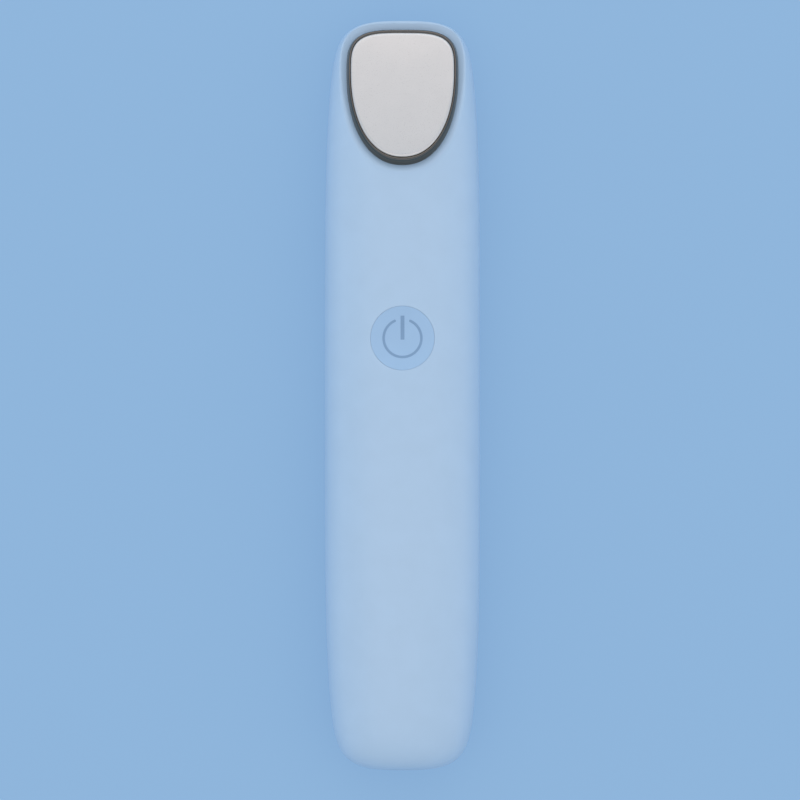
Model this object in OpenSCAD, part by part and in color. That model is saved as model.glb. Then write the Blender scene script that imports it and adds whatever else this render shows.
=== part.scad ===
// Heated eye massager wand: a slim two-shell handle with a slanted heated plate at the head,
// a dished power button on the front and a charging port in the foot.
// Millimetres. The wand lies on its back: +Y points to the head, +Z out of the front,
// and the origin is under the middle of its length, on the surface that it rests on.

/* [Body] */
// Overall length of the wand
body_l = 132; // [128:1:138]
// Width at the widest section
body_w = 27.4; // [26.6:0.2:29]
// Depth of the front half, from the seam to the crown
front_t = 10; // [9.6:0.1:11]
// Depth of the rear half, from the seam to the resting flat
rear_t = 9; // [8.6:0.1:10]
// Squareness of the cross-section, 2 is an ellipse
section_power = 2.5; // [2.4:0.05:2.8]
// Wall of both shells
wall_t = 1.6; // [1.3:0.1:1.8]
// How far the rear curve would dip under the resting flat
flat_sink = 0.35; // [0.25:0.05:0.5]

/* [Seam] */
// Height of the rear shell's tongue above the seam
tongue_h = 1.1; // [0.8:0.1:1.2]
// Gap between the tongue and the front shell's rebate
tongue_gap = 0.1; // [0.05:0.01:0.15]
// Length of one snap catch
catch_l = 6; // [4:0.5:8]
// How far a snap catch stands out of the tongue
catch_out = 0.3; // [0.2:0.05:0.35]

/* [Head] */
// Length of the slanted face, from the head end along the wand
cut_l = 27.3; // [26.9:0.1:28.5]
// Tilt of the slanted face from the wand's length
head_tilt = 14; // [13:0.5:15]
// Distance from the head end to the rim's widest line
rim_from_end = 9.5; // [9.3:0.1:10]
// Width of the plated rim at its base
rim_w = 19.6; // [18.8:0.1:19.8]
// Length of the rim above its widest line
rim_up = 8; // [7.6:0.1:8.1]
// Length of the rim below its widest line
rim_down = 16.8; // [16.4:0.1:17.2]
// Height of the rim above the slanted face
rim_h = 1.2; // [1:0.1:1.5]
// Inward lean of the rim's outer wall over its height
rim_draft = 0.35; // [0.2:0.05:0.45]
// Width of the sloping recess round the rim
recess_w = 1.25; // [1:0.05:1.4]
// Depth of the recess at the rim's foot
recess_depth = 0.45; // [0.3:0.05:0.6]
// Width of the rim at its sides, seen from the front
rim_side = 0.75; // [0.65:0.05:0.9]
// Width of the rim at its two ends, seen from the front
rim_end = 1; // [0.9:0.05:1.2]
// Thickness of the massage plate
plate_t = 1.3; // [1.1:0.05:1.5]
// Height of the plate's face above the rim
plate_proud = 0.4; // [0.2:0.05:0.5]
// Radius of the plate's rounded edge
plate_edge_r = 0.45; // [0.3:0.05:0.5]
// Thickness of the heater film
film_t = 0.2; // [0.15:0.05:0.3]
// Thickness of the sponge under the heater film
sponge_t = 1.6; // [1.4:0.1:1.8]

/* [Button] */
// Distance from the head end to the button's centre
button_from_end = 56; // [54:0.5:58]
// Diameter of the button cap
button_d = 10.9; // [10:0.1:11.5]
// Gap around the cap in its hole
button_gap = 0.15; // [0.1:0.05:0.25]
// Travel of the button
button_travel = 0.4; // [0.2:0.05:0.5]
// Depth of the finger dish
dish_depth = 0.55; // [0.3:0.05:0.8]
// Thickness of the cap's retaining flange
flange_t = 0.9; // [0.7:0.1:1.1]
// Outer radius of the power mark's ring
mark_r = 3.5; // [3:0.1:3.8]
// Line width of the ring
mark_line = 0.5; // [0.4:0.05:0.7]
// Width of the power mark's bar
mark_bar_w = 0.72; // [0.5:0.05:0.9]

/* [Main board] */
// Length of the main board
board_l = 34; // [32:1:36]
// Length of the main board below the button's centre
board_foot = 14; // [12:0.5:15]
// Width of the main board
board_w = 17; // [16:0.5:17.5]
// Thickness of the main board
board_t = 1; // [0.8:0.1:1.2]
// Side of the tact switch's square base
switch_w = 6; // [5.5:0.1:6.5]
// Height of the tact switch's base
switch_base_h = 3.3; // [3:0.1:3.6]
// Height of the plunger above the switch's base
plunger_h = 1; // [0.8:0.05:1.2]
// Diameter of the switch's plunger
plunger_d = 3.3; // [3:0.1:3.6]

/* [Battery] */
// Clear length between the pouch cell and the charging board
bay_gap = 8.6; // [7:0.1:10]
// Width of the pouch cell
battery_w = 17; // [15:0.5:17.5]
// Thickness of the pouch cell
battery_t = 8; // [6:0.5:8.5]

/* [Motor] */
// Distance from the rim's widest line back to the motor's end cap
motor_from_rim = 15.6; // [15.4:0.1:16]
// Diameter of the vibration motor's can
motor_d = 6; // [5.6:0.1:6.2]
// Length of the motor's can
motor_l = 10; // [9:0.5:10.5]
// Height of the motor's axis above the resting flat
motor_z = 7; // [6.8:0.1:7.2]
// Diameter of the motor's shaft
shaft_d = 1; // [0.8:0.1:1.2]
// Radius of the eccentric weight
weight_r = 2.8; // [2.4:0.1:2.9]
// Length of the eccentric weight
weight_l = 3.5; // [3:0.25:4]

/* [Charging port] */
// Width of the charging socket's shell
port_w = 8.94; // [8.8:0.02:9.1]
// Height of the charging socket's shell
port_h = 3.26; // [3.1:0.02:3.4]
// Length of the charging socket's shell
port_l = 7.35; // [6.8:0.05:7.6]
// Length of the charging board
charge_l = 8.4; // [8:0.1:9]
// Width of the charging board
charge_w = 12.4; // [11.6:0.1:12.6]
// Thickness of the charging board
charge_t = 0.8; // [0.6:0.1:1]

/* [Chassis, screws and leads] */
// Gap between the chassis and the shells
chassis_gap = 0.3; // [0.25:0.05:0.5]
// Thickness of the chassis floor
floor_t = 1.2; // [1:0.1:1.4]
// Shank diameter of the chassis screws
screw_d = 1.7; // [1.5:0.1:1.9]
// Length of a chassis screw's shank
screw_l = 6; // [5:0.5:6.5]
// Shank diameter of the small screws
small_screw_d = 1.2; // [1:0.1:1.3]
// Outer diameter of an insulated lead
lead_d = 0.8; // [0.6:0.05:0.9]

/* [Hidden] */

$fn = 48;
tiny = 0.01;
far = 200;
touch_gap = 0.05; // between parts that move apart or are glued together

// Body curves. u runs from 0 at the middle to 1 at either end.
end_flat = 0.0015;
end_power = 27.6;
end_sharp = 3.3;
side_taper = 0.177;
side_power = 4.63;
front_taper = 0.2;
front_power = 4;
rear_taper = 0.25;
rear_power = 5;
stations = 15;
arc_steps = 22;

half_l = body_l / 2;
seam_z = rear_t;

function end_round(u) = pow(1 - pow(u * (1 - end_flat), end_power), 1 / end_sharp);
function half_width(u) = body_w / 2 * (1 - side_taper * pow(u, side_power)) * end_round(u);
function front_depth(u) = front_t * (1 - front_taper * pow(u, front_power)) * end_round(u);
function rear_depth(u) =
    (rear_t + flat_sink) * (1 - rear_taper * pow(u, rear_power)) * end_round(u);
function super_sin(a) = sign(sin(a)) * pow(abs(sin(a)), 2 / section_power);
function super_cos(a) = sign(cos(a)) * pow(abs(cos(a)), 2 / section_power);
// Share of the section's height that is left at the share x of its half width
function section_rise(x) = pow(max(0, 1 - pow(min(1, abs(x)), section_power)), 1 / section_power);

function along(inset, y) = min(1, abs(y) / (half_l - inset));
function side_x(inset, y) = half_width(along(inset, y)) - inset;
function front_z(inset, x, y) =
    seam_z + (front_depth(along(inset, y)) - inset) * section_rise(x / side_x(inset, y));

// Slanted face
cut_y = half_l - cut_l;
cut_z = front_z(0, 0, cut_y);
function slant_z(y) = cut_z - (y - cut_y) * tan(head_tilt);

// Head parts are laid out in the slanted face's own frame, about the rim's widest line
rim_y = half_l - rim_from_end;
rim_z = slant_z(rim_y);
upper_power = 3.5;
lower_power = 2.2;
egg_sides = 64;
opening_inset = 0.8;
skirt_inset = 0.9;
skirt_t = 0.9;
skirt_depth = wall_t + 0.9;
shelf_z = rim_h + plate_proud - plate_t;
film_z = shelf_z - film_t;
sponge_z = film_z - sponge_t;
film_inset = skirt_inset + skirt_t + 0.15;
bracket_t = 1.2;
bracket_inset = 0.45;
bracket_boss_r = 1.4;
bracket_sites = [for (y = [3.6, -4.6], x = [-1, 1])
    [x * (egg_x(skirt_inset + skirt_t, y) - bracket_boss_r + 0.5), y]];
lead_window = [7, 3];
lead_window_y = 4 - rim_down;
lead_slot = 3;

// Button stack, from the crown inwards
button_y = half_l - button_from_end;
button_r = button_d / 2;
hole_r = button_r + button_gap;
collar_r = hole_r + 1.3;
flange_r = hole_r + 0.9;
cap_drop = 0.12;
seat_z = front_z(wall_t, collar_r, button_y) - 0.35;
flange_z = seat_z - touch_gap - flange_t;
stem_r = 1.4;
stem_l = 0.7;
stem_z = flange_z - stem_l;
key_w = 1;
key_depth = 0.6;
core_r = button_r - 1.1;
core_top = 1.5;
mark_depth = 0.45;
mark_gap = 0.02;
mark_open = 20.5;
mark_bar = [-0.25, 3.9];

// Main board
plunger_top = stem_z - touch_gap;
board_top = plunger_top - plunger_h - switch_base_h;
board_z = board_top - board_t;
board_y = button_y - board_foot;
board_end = board_y + board_l;
board_hole = [board_w / 2 - 2, 2.2];
board_sites = [[-board_hole[0], board_y + board_hole[1]], [board_hole[0], board_y + board_hole[1]],
    [-board_hole[0], board_end - 6], [board_hole[0], board_end - 6]];

// Chassis
floor_z = wall_t + 0.8;
floor_top = floor_z + floor_t;
tower_r = 2.1;
tower_reach = tower_r + 0.4;
deck_z = board_z;
battery_end = board_y - 2 * tower_reach - 0.9;
charge_inset = 1.6;
charge_y = -half_l + wall_t + charge_inset;
charge_end = charge_y + charge_l;
battery_l = battery_end - bay_gap - charge_end;
battery_y = battery_end - battery_l;
tower_sites = [for (y = [battery_y - tower_reach, board_y - tower_reach, board_end + tower_reach],
    x = [-1, 1]) [x * min(8, side_x(wall_t, y) - tower_reach - 1), y]];
screw_head_d = screw_d * 1.8;
screw_head_h = 1;
seat_drop = 2.4;

// Battery
pad_t = 0.4;
battery_z = floor_top + pad_t;
battery_top = battery_z + battery_t;
protection_t = 1;
tape_t = 0.15;
tape_wrap = 5;

// Charging port
port_recess = 0.35;
port_y = -half_l + port_recess;
port_skin = 0.3;
port_back = 0.4;
port_gap = 0.15;
port_z = seam_z;
charge_top = port_z - port_h / 2;
charge_z = charge_top - charge_t;
charge_hole = [charge_w / 2 - 1.3, 1.6];
charge_sites = [for (x = [-1, 1]) [x * charge_hole[0], charge_end - charge_hole[1]]];

// Small screws
small_head_d = small_screw_d * 1.75;
small_head_h = 0.6;
small_screw_l = 3;
post_r = 1.5;

// Motor
motor_r = motor_d / 2;
motor_y = rim_y - motor_from_rim;
motor_end = motor_y + motor_l;
boot_t = 0.6;
boot_r = motor_r + boot_t;
boot_inset = 2.4;
boot_y = motor_y + boot_inset;
boot_l = motor_l - boot_inset - 0.6;
saddle_y = boot_y + 0.5;
saddle_l = boot_l - 1;
strap_t = 0.8;
strap_ear_t = 1.1;
strap_screw_x = boot_r + touch_gap + strap_t + small_head_d / 2 + 0.1;
saddle_x = strap_screw_x + 1.3;
strap_screw_l = 3.4;
bush_l = 1.2;
shaft_gap = 0.04;
weight_y = motor_end + bush_l + 0.35;
end_cap_t = 1;
can_t = 0.35;
magnet_t = 0.6;

// Leads
lead_r = lead_d / 2;
fine_lead_r = lead_r * 0.75;
lead_sides = 8;
lead_steps = 5;
pad_y = board_end - 1.6;
joint_r = 0.75;

// ---------- Shared shapes ----------

// Half section at the station s: the front half (side 1) or the rear half (side -1), carried
// straight past the seam by reach
function half_section(s, inset, side, reach) = let (
        u = abs(s),
        y = (half_l - inset) * s,
        w = half_width(u) - inset,
        d = (side > 0 ? front_depth(u) : rear_depth(u)) - inset,
        arc = [for (k = [0:arc_steps]) let (a = 180 * k / arc_steps)
            [w * super_cos(a), y, seam_z + side * d * super_sin(a)]],
        ends = [for (x = [-w, w]) [x, y, seam_z - side * reach]])
    side > 0 ? concat(arc, ends) : [for (p = concat(arc, ends)) [-p[0], p[1], p[2]]];

// Stations crowd towards the ends, where the body rounds off
function station(i) = let (s = i / stations) sign(s) * (1 - pow(1 - abs(s), 2.2));

// A closed skin over rings of equal length, the first and last ring being its caps
module skin(rings) {
    n = len(rings[0]);
    last = (len(rings) - 1) * n;
    polyhedron(
        points = [for (r = rings) each r],
        faces = concat(
            [[for (k = [0:n - 1]) n - 1 - k]],
            [for (i = [0:len(rings) - 2], k = [0:n - 1])
                [i * n + k, i * n + (k + 1) % n, (i + 1) * n + (k + 1) % n, (i + 1) * n + k]],
            [[for (k = [0:n - 1]) last + k]]),
        convexity = 6);
}

// Everything above the slanted face, sunk by inset
module above_slant(inset) {
    translate([0, cut_y, cut_z]) rotate([-head_tilt, 0, 0])
        translate([-far / 2, -far / 2, -inset]) cube([far, far, far / 4]);
}

// The wand's front or rear form, drawn in by inset on every side
module form(inset, side, reach) {
    difference() {
        skin([for (i = [-stations:stations]) half_section(station(i), inset, side, reach)]);
        if (side > 0) above_slant(inset);
        else translate([-far / 2, -far / 2, inset - far]) cube([far, far, far]);
    }
}

module slab(z0, z1) {
    translate([-far / 2, -far / 2, z0]) cube([far, far, z1 - z0]);
}

// The rim's outline: one superellipse above its widest line and another below
function egg(inset_x, inset_y) = [for (k = [0:egg_sides - 1]) let (
        a = -360 * k / egg_sides,
        p = 2 / (sin(a) > 0 ? upper_power : lower_power),
        b = (sin(a) > 0 ? rim_up : rim_down) - inset_y)
    [(rim_w / 2 - inset_x) * sign(cos(a)) * pow(abs(cos(a)), p),
        b * sign(sin(a)) * pow(abs(sin(a)), p)]];

// Half width of the rim's outline, drawn in by inset, at the height y
function egg_x(inset, y) = let (
        p = y > 0 ? upper_power : lower_power,
        b = (y > 0 ? rim_up : rim_down) - inset)
    (rim_w / 2 - inset) * pow(max(0, 1 - pow(abs(y) / b, p)), 1 / p);

// Flat plate in the rim's outline
module egg_plate(inset_x, inset_y, z0, z1) {
    translate([0, 0, z0]) linear_extrude(z1 - z0) polygon(egg(inset_x, inset_y));
}

// Ring of the rim's outline at a height, for skin()
function egg_ring(inset_x, inset_y, z) = [for (p = egg(inset_x, inset_y)) [p[0], p[1], z]];

module on_head() {
    translate([0, rim_y, rim_z]) rotate([-head_tilt, 0, 0]) children();
}

module at_each(sites) {
    for (p = sites) translate([p[0], p[1], 0]) children();
}

module rod(r, z0, z1) {
    translate([0, 0, z0]) cylinder(r = r, h = z1 - z0);
}

module tube(outer, inner, z0, z1) {
    difference() {
        rod(outer, z0, z1);
        rod(inner, z0 - 1, z1 + 1);
    }
}

// Pan-head screw pointing up: its head hangs under z = 0 and its shank rises from there
module screw(shank_d, shank_l, head_d, head_h) {
    difference() {
        union() {
            rod(shank_d / 2, -head_h / 2, shank_l);
            rod(head_d / 2, -head_h, 0);
        }
        for (turn = [0, 90]) rotate(turn)
            translate([-head_d / 3, -head_d / 12, -head_h - 1])
                cube([head_d * 2 / 3, head_d / 6, 1 + head_h * 0.45]);
    }
}

// Round-cornered bar along Y, centred on X and Z
module round_bar(w, h, l) {
    r = h / 2 - tiny;
    rotate([-90, 0, 0]) linear_extrude(l) union() {
        square([w - 2 * r, h], center = true);
        square([w, h - 2 * r], center = true);
        for (x = [-1, 1], z = [-1, 1]) translate([x * (w / 2 - r), z * (h / 2 - r)]) circle(r);
    }
}

function unit(v) = v / norm(v);
function spline_point(p0, p1, p2, p3, t) = 0.5 * (2 * p1 + (p2 - p0) * t
    + (2 * p0 - 5 * p1 + 4 * p2 - p3) * t * t + (3 * p1 - p0 - 3 * p2 + p3) * t * t * t);
// Smooth line through the points of a lead's route
function smooth(route) = let (n = len(route) - 1)
    [for (i = [0:n - 1], k = [0:lead_steps - 1])
        spline_point(route[max(0, i - 1)], route[i], route[i + 1], route[min(n, i + 2)],
            k / lead_steps), route[n]];

// Insulated lead swept along a route that runs mainly in planes of constant X
module lead(route, r) {
    line = smooth(route);
    last = len(line) - 1;
    skin([for (i = [0:last]) let (
            t = unit(line[min(last, i + 1)] - line[max(0, i - 1)]),
            u = unit(cross(t, [0, 0.02, 1] + (abs(t[2]) > 0.9 ? [0, -1, -1] : [0, 0, 0]))),
            v = cross(u, t))
        [for (k = [0:lead_sides - 1]) let (a = 360 * k / lead_sides)
            line[i] + r * (cos(a) * u + sin(a) * v)]]);
}

// ---------- Shells ----------

catch_sites = [for (y = [battery_y + 4, board_y - 3, board_end - 9], x = [-1, 1]) [x, y]];
tongue_inset = wall_t / 2 + tongue_gap;

// Snap catch on the tongue, or its pocket when grown
module catch(site, grow) {
    y = site[1];
    x = side_x(tongue_inset, y);
    translate([site[0] > 0 ? x - 0.3 : -x - catch_out - grow, y - catch_l / 2 - grow,
        seam_z + tongue_h * 0.35 - grow])
        cube([catch_out + 0.3 + grow, catch_l + 2 * grow, 0.5 + 2 * grow]);
}

module port_hole() {
    translate([0, -half_l - 1, port_z])
        round_bar(port_w + 2 * port_gap, port_h + 2 * port_gap, wall_t + port_l);
}

// Rib on the front shell, in a notch of the cap's flange, that keeps the button upright
module key(grow) {
    translate([-key_w / 2 - grow, button_y + flange_r - key_depth - grow, flange_z - grow])
        cube([key_w + 2 * grow, collar_r - flange_r + key_depth + grow, flange_t + 0.3 + grow]);
}

module front_shell() {
    color("lightsteelblue") difference() {
        union() {
            difference() {
                intersection() {
                    form(0, 1, 1);
                    slab(seam_z, far);
                }
                form(wall_t, 1, 1);
                form(wall_t / 2, -1, tongue_h + tongue_gap);
            }
            intersection() {
                form(wall_t / 3, 1, 1);
                union() {
                    at_each(tower_sites) rod(tower_r, deck_z, far);
                    translate([0, button_y, 0]) rod(collar_r, seat_z, far);
                    key(0);
                }
            }
        }
        for (site = catch_sites) catch(site, 0.1);
        on_head() {
            egg_plate(opening_inset, opening_inset, -far, far);
            skin([egg_ring(0, 0, -recess_depth), egg_ring(-recess_w, -recess_w, 0),
                egg_ring(-recess_w, -recess_w, far)]);
        }
        translate([0, button_y, 0]) rod(hole_r, flange_z - 1, far);
        at_each(tower_sites) rod(screw_d / 2 + 0.03, deck_z - 1, deck_z + screw_l);
        port_hole();
    }
}

module rear_shell() {
    color("lightsteelblue") difference() {
        union() {
            intersection() {
                form(0, -1, 1);
                slab(-1, seam_z);
            }
            form(tongue_inset, -1, tongue_h);
            for (site = catch_sites) catch(site, 0);
        }
        form(wall_t, -1, tongue_h + 1);
        port_hole();
    }
}

// ---------- Heated head ----------

module plate_rim() {
    round_r = 0.15;
    color("dimgray") on_head() difference() {
        union() {
            skin([egg_ring(0, 0, -recess_depth), egg_ring(0, 0, 0),
                egg_ring(rim_draft, rim_draft, rim_h - round_r),
                egg_ring(rim_draft + round_r, rim_draft + round_r, rim_h)]);
            egg_plate(skirt_inset, skirt_inset, -skirt_depth, rim_h / 2);
        }
        egg_plate(rim_side, rim_end, shelf_z, rim_h + 1);
        difference() {
            egg_plate(skirt_inset + skirt_t, skirt_inset + skirt_t, -skirt_depth - 1, rim_h);
            intersection() {
                at_each(bracket_sites) rod(bracket_boss_r, -skirt_depth - 2, film_z - 0.3);
                egg_plate(skirt_inset + 0.1, skirt_inset + 0.1, -far, far);
            }
        }
        at_each(bracket_sites)
            rod(small_screw_d / 2 + 0.03, -skirt_depth - 1, -skirt_depth + 1.6);
    }
}

module heat_plate() {
    face_z = shelf_z + plate_t;
    steps = 4;
    color("gainsboro") on_head()
        skin(concat([egg_ring(rim_side + touch_gap, rim_end + touch_gap, shelf_z)],
            [for (i = [0:steps]) let (a = 90 * i / steps, d = plate_edge_r * (1 - cos(a)))
                egg_ring(rim_side + touch_gap + d, rim_end + touch_gap + d,
                    face_z - plate_edge_r * (1 - sin(a)))]));
}

module heater_film() {
    color("peru") on_head() egg_plate(film_inset, film_inset, film_z, shelf_z);
}

bead_r = 0.6;

module thermistor() {
    color("saddlebrown") on_head() translate([0, -1, film_z - bead_r]) sphere(bead_r);
}

module sponge_pad() {
    color("darkslategray") on_head() difference() {
        egg_plate(film_inset, film_inset, sponge_z, film_z);
        at_each(bracket_sites) rod(bracket_boss_r + 0.3, sponge_z - 1, film_z + 1);
        translate([-lead_slot / 2, -far, sponge_z - 1]) cube([lead_slot, far, sponge_t + 2]);
        translate([-far / 2, lead_window_y - far + lead_window[1] / 2, sponge_z - 1])
            cube([far, far, sponge_t + 2]);
    }
}

// Where the saddle's top follows the bracket's underside
module under_bracket() {
    on_head() translate([-far / 2, -far / 2, -skirt_depth - bracket_t / 2 - far])
        cube([far, far, far]);
}

module head_bracket() {
    pad_h = -sponge_z < skirt_depth ? skirt_depth + sponge_z : 0;
    color("whitesmoke") difference() {
        union() {
            on_head() {
                egg_plate(bracket_inset, skirt_inset, -skirt_depth - bracket_t, -skirt_depth);
                difference() {
                    egg_plate(film_inset + 0.2, film_inset + 0.2, -skirt_depth - tiny,
                        -skirt_depth + pad_h);
                    at_each(bracket_sites) rod(bracket_boss_r + 0.3, -far, far);
                }
            }
            intersection() {
                under_bracket();
                translate([-saddle_x, saddle_y, motor_z]) cube([2 * saddle_x, saddle_l, far]);
            }
        }
        translate([0, saddle_y - far / 2, motor_z]) rotate([-90, 0, 0])
            cylinder(r = boot_r + touch_gap, h = far);
        for (x = [-1, 1]) translate([x * strap_screw_x, saddle_y + saddle_l / 2, 0])
            rod(small_screw_d / 2 + 0.03, motor_z - 1, motor_z + strap_screw_l);
        on_head() {
            at_each(bracket_sites)
                rod(small_screw_d / 2 + 0.1, -skirt_depth - bracket_t - 1, -skirt_depth + 1);
            translate([-lead_window[0] / 2, lead_window_y - lead_window[1] / 2, -far / 2])
                cube([lead_window[0], lead_window[1], far]);
        }
    }
}

module bracket_screws() {
    color("silver") on_head() at_each(bracket_sites)
        translate([0, 0, -skirt_depth - bracket_t])
            screw(small_screw_d, bracket_t + 1.4, small_head_d, small_head_h);
}

// ---------- Vibration motor ----------

// Turns a shape drawn up the Z axis to lie along the motor's axis from y
module on_motor(y) {
    translate([0, y, motor_z]) rotate([-90, 0, 0]) children();
}

module motor_can() {
    color("silver") on_motor(motor_y) difference() {
        rod(motor_r, 0, motor_l);
        rod(motor_r - can_t, -1, motor_l - can_t);
        rod(shaft_d / 2 + 0.5, 0, motor_l + 1);
    }
}

module motor_end_cap() {
    color("white") on_motor(motor_y) tube(motor_r - can_t, shaft_d / 2 + shaft_gap, 0, end_cap_t);
}

module motor_bush() {
    color("goldenrod") on_motor(motor_end - can_t) union() {
        tube(shaft_d / 2 + 0.45, shaft_d / 2 + shaft_gap, 0, bush_l);
        tube(shaft_d / 2 + 0.9, shaft_d / 2 + shaft_gap, can_t, 0.8);
    }
}

module motor_magnet() {
    color("dimgray") on_motor(motor_y + end_cap_t + 0.6)
        tube(motor_r - can_t, motor_r - can_t - magnet_t, 0, motor_l - can_t - end_cap_t - 1);
}

module motor_boot() {
    color("dimgray") on_motor(boot_y) tube(boot_r, motor_r + 0.01, 0, boot_l);
}

module motor_strap() {
    color("whitesmoke") difference() {
        union() {
            intersection() {
                on_motor(saddle_y) rod(boot_r + touch_gap + strap_t, 0, saddle_l);
                slab(0, motor_z);
            }
            translate([-saddle_x, saddle_y, motor_z - strap_ear_t])
                cube([2 * saddle_x, saddle_l, strap_ear_t]);
        }
        on_motor(saddle_y - 1) rod(boot_r + touch_gap, 0, saddle_l + 2);
        for (x = [-1, 1]) translate([x * strap_screw_x, saddle_y + saddle_l / 2, 0])
            rod(small_screw_d / 2 + 0.1, motor_z - strap_ear_t - 1, motor_z + 1);
    }
}

module strap_screws() {
    color("silver") for (x = [-1, 1])
        translate([x * strap_screw_x, saddle_y + saddle_l / 2, motor_z - strap_ear_t])
            screw(small_screw_d, strap_ear_t + strap_screw_l - 0.6, small_head_d, small_head_h);
}

module motor_shaft() {
    color("lightgray") on_motor(motor_y + 0.3)
        rod(shaft_d / 2, 0, weight_y + weight_l + 0.4 - motor_y - 0.3);
}

module motor_armature() {
    color("peru") on_motor(motor_y + end_cap_t + 1)
        tube(motor_r - can_t - magnet_t - 0.25, shaft_d / 2 + 0.005,
            0, motor_l - can_t - end_cap_t - 1.8);
}

module motor_weight() {
    color("slategray") on_motor(weight_y) difference() {
        union() {
            rod(shaft_d / 2 + 0.7, 0, weight_l);
            intersection() {
                rod(weight_r, 0, weight_l);
                translate([-far / 2, 0, 0]) cube([far, far, far]);
            }
        }
        rod(shaft_d / 2 + 0.005, -1, weight_l + 1);
    }
}

// ---------- Power button ----------

// Disc whose top follows the wand's crown, sunk by drop and dished by dish_depth in its middle
module crown_disc(r, z0, drop) {
    rings = 7;
    sides = 48;
    n = rings * sides;
    function crown_point(k, j) = let (
            q = r * k / rings,
            x = q * cos(360 * j / sides),
            y = button_y + q * sin(360 * j / sides))
        [x, y, front_z(0, x, y) - drop - dish_depth * max(0, 1 - pow(q / button_r, 2))];
    top = [for (k = [1:rings], j = [0:sides - 1]) crown_point(k, j)];
    rim = [for (j = [0:sides - 1]) [top[n - sides + j][0], top[n - sides + j][1], z0]];
    polyhedron(
        points = concat(top, rim, [crown_point(0, 0)]),
        faces = concat(
            [for (j = [0:sides - 1]) [n + sides, (j + 1) % sides, j]],
            [for (k = [0:rings - 2], j = [0:sides - 1])
                [k * sides + j, k * sides + (j + 1) % sides,
                    (k + 1) * sides + (j + 1) % sides, (k + 1) * sides + j]],
            [for (j = [0:sides - 1])
                [n - sides + j, n - sides + (j + 1) % sides, n + (j + 1) % sides, n + j]],
            [[for (j = [0:sides - 1]) n + j]]),
        convexity = 4);
}

// Power mark as flat outlines: an open ring and a bar
module mark_outline(grow) {
    difference() {
        circle(mark_r + grow);
        circle(mark_r - mark_line - grow);
        polygon([[0, 0], [-far * tan(mark_open), far], [far * tan(mark_open), far]]);
    }
    translate([-mark_bar_w / 2 - grow, mark_bar[0] - grow])
        square([mark_bar_w + 2 * grow, mark_bar[1] - mark_bar[0] + 2 * grow]);
}

module mark_block(grow) {
    translate([0, button_y, flange_z]) linear_extrude(far / 4) mark_outline(grow);
}

module button_cap() {
    crown_under = front_z(0, button_r, button_y) - cap_drop - dish_depth - core_top;
    color("lightskyblue") difference() {
        union() {
            intersection() {
                crown_disc(button_r + 0.3, flange_z + 0.1, cap_drop);
                translate([0, button_y, 0]) rod(button_r, flange_z, far);
            }
            translate([0, button_y, 0]) rod(flange_r, flange_z, flange_z + flange_t);
        }
        translate([0, button_y, 0]) tube(core_r, stem_r, flange_z - 1, crown_under);
        key(0.1);
        difference() {
            mark_block(mark_gap);
            crown_disc(button_r + 0.3, flange_z, cap_drop + mark_depth);
        }
    }
    color("lightskyblue") translate([0, button_y, 0]) rod(stem_r, stem_z, flange_z);
}

module power_mark() {
    color("steelblue") difference() {
        intersection() {
            mark_block(0);
            crown_disc(button_r + 0.3, flange_z, cap_drop + 0.03);
        }
        crown_disc(button_r + 0.3, flange_z - 1, cap_drop + mark_depth - mark_gap);
    }
}

// ---------- Main board ----------

module main_board() {
    color("darkgreen") difference() {
        translate([-board_w / 2, board_y, board_z]) cube([board_w, board_l, board_t]);
        at_each(board_sites) rod(small_screw_d / 2 + 0.1, board_z - 1, board_top + 1);
    }
}

module board_screws() {
    color("silver") at_each(board_sites) translate([0, 0, board_top]) mirror([0, 0, 1])
        screw(small_screw_d, small_screw_l, small_head_d, small_head_h);
}

module switch_base() {
    bore_r = plunger_d / 2 + 0.05;
    color("dimgray") translate([0, button_y, board_top]) difference() {
        translate([-switch_w / 2, -switch_w / 2, 0]) cube([switch_w, switch_w, switch_base_h]);
        rod(bore_r, 1, switch_base_h + 1);
        rod(bore_r + 0.5, 1, switch_base_h - 0.4);
        for (x = [-1, 1], y = [-1, 1]) translate([x * switch_w * 0.36, y * switch_w * 0.36, 0])
            rod(0.45, switch_base_h - 0.3, switch_base_h + 1);
    }
}

module switch_plunger() {
    color("ivory") translate([0, button_y, board_top]) {
        rod(plunger_d / 2, 1 + button_travel + 0.1, switch_base_h + plunger_h);
        rod(plunger_d / 2 + 0.4, 1 + button_travel + 0.1, switch_base_h - 0.5);
    }
}

module switch_legs() {
    color("silver") for (x = [-1, 1], y = [-1, 1])
        translate([x * (switch_w / 2 + 0.4) - 0.4, button_y + y * 2.25 - 0.35, board_top])
            cube([0.8, 0.7, 0.3]);
}

led_x = switch_w / 2 + 2;

module button_leds() {
    color("white") for (x = [-1, 1]) translate([x * led_x - 0.8, button_y - 0.4, board_top]) {
        cube([1.6, 0.8, 0.35]);
        translate([0.25, 0, 0.35]) cube([1.1, 0.8, 0.3]);
    }
}

module chip(x, y, w, l, h) {
    translate([x - w / 2, y - l / 2, board_top]) cube([w, l, h]);
}

chips_y = button_y + switch_w / 2 + 4;

module board_chips() {
    color("black") {
        chip(-1.8, chips_y, 4, 5, 1.5);
        chip(4.2, chips_y + 0.6, 1.6, 2.9, 1);
        chip(4.2, chips_y - 2.7, 1.6, 2.9, 1);
        chip(-6.2, chips_y - 2, 2.4, 2.8, 0.9);
    }
}

module board_passives() {
    color("tan") {
        for (i = [0:3]) chip(-3 + 1.7 * i, chips_y + 4.4, 0.8, 1.6, 0.5);
        for (i = [0:2]) chip(7, chips_y - 4.6 + 2.4 * i, 1.6, 0.8, 0.5);
        for (i = [0:2]) chip(2 + 1.7 * i, button_y - switch_w / 2 - 2.2, 0.8, 1.6, 0.5);
    }
}

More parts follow.
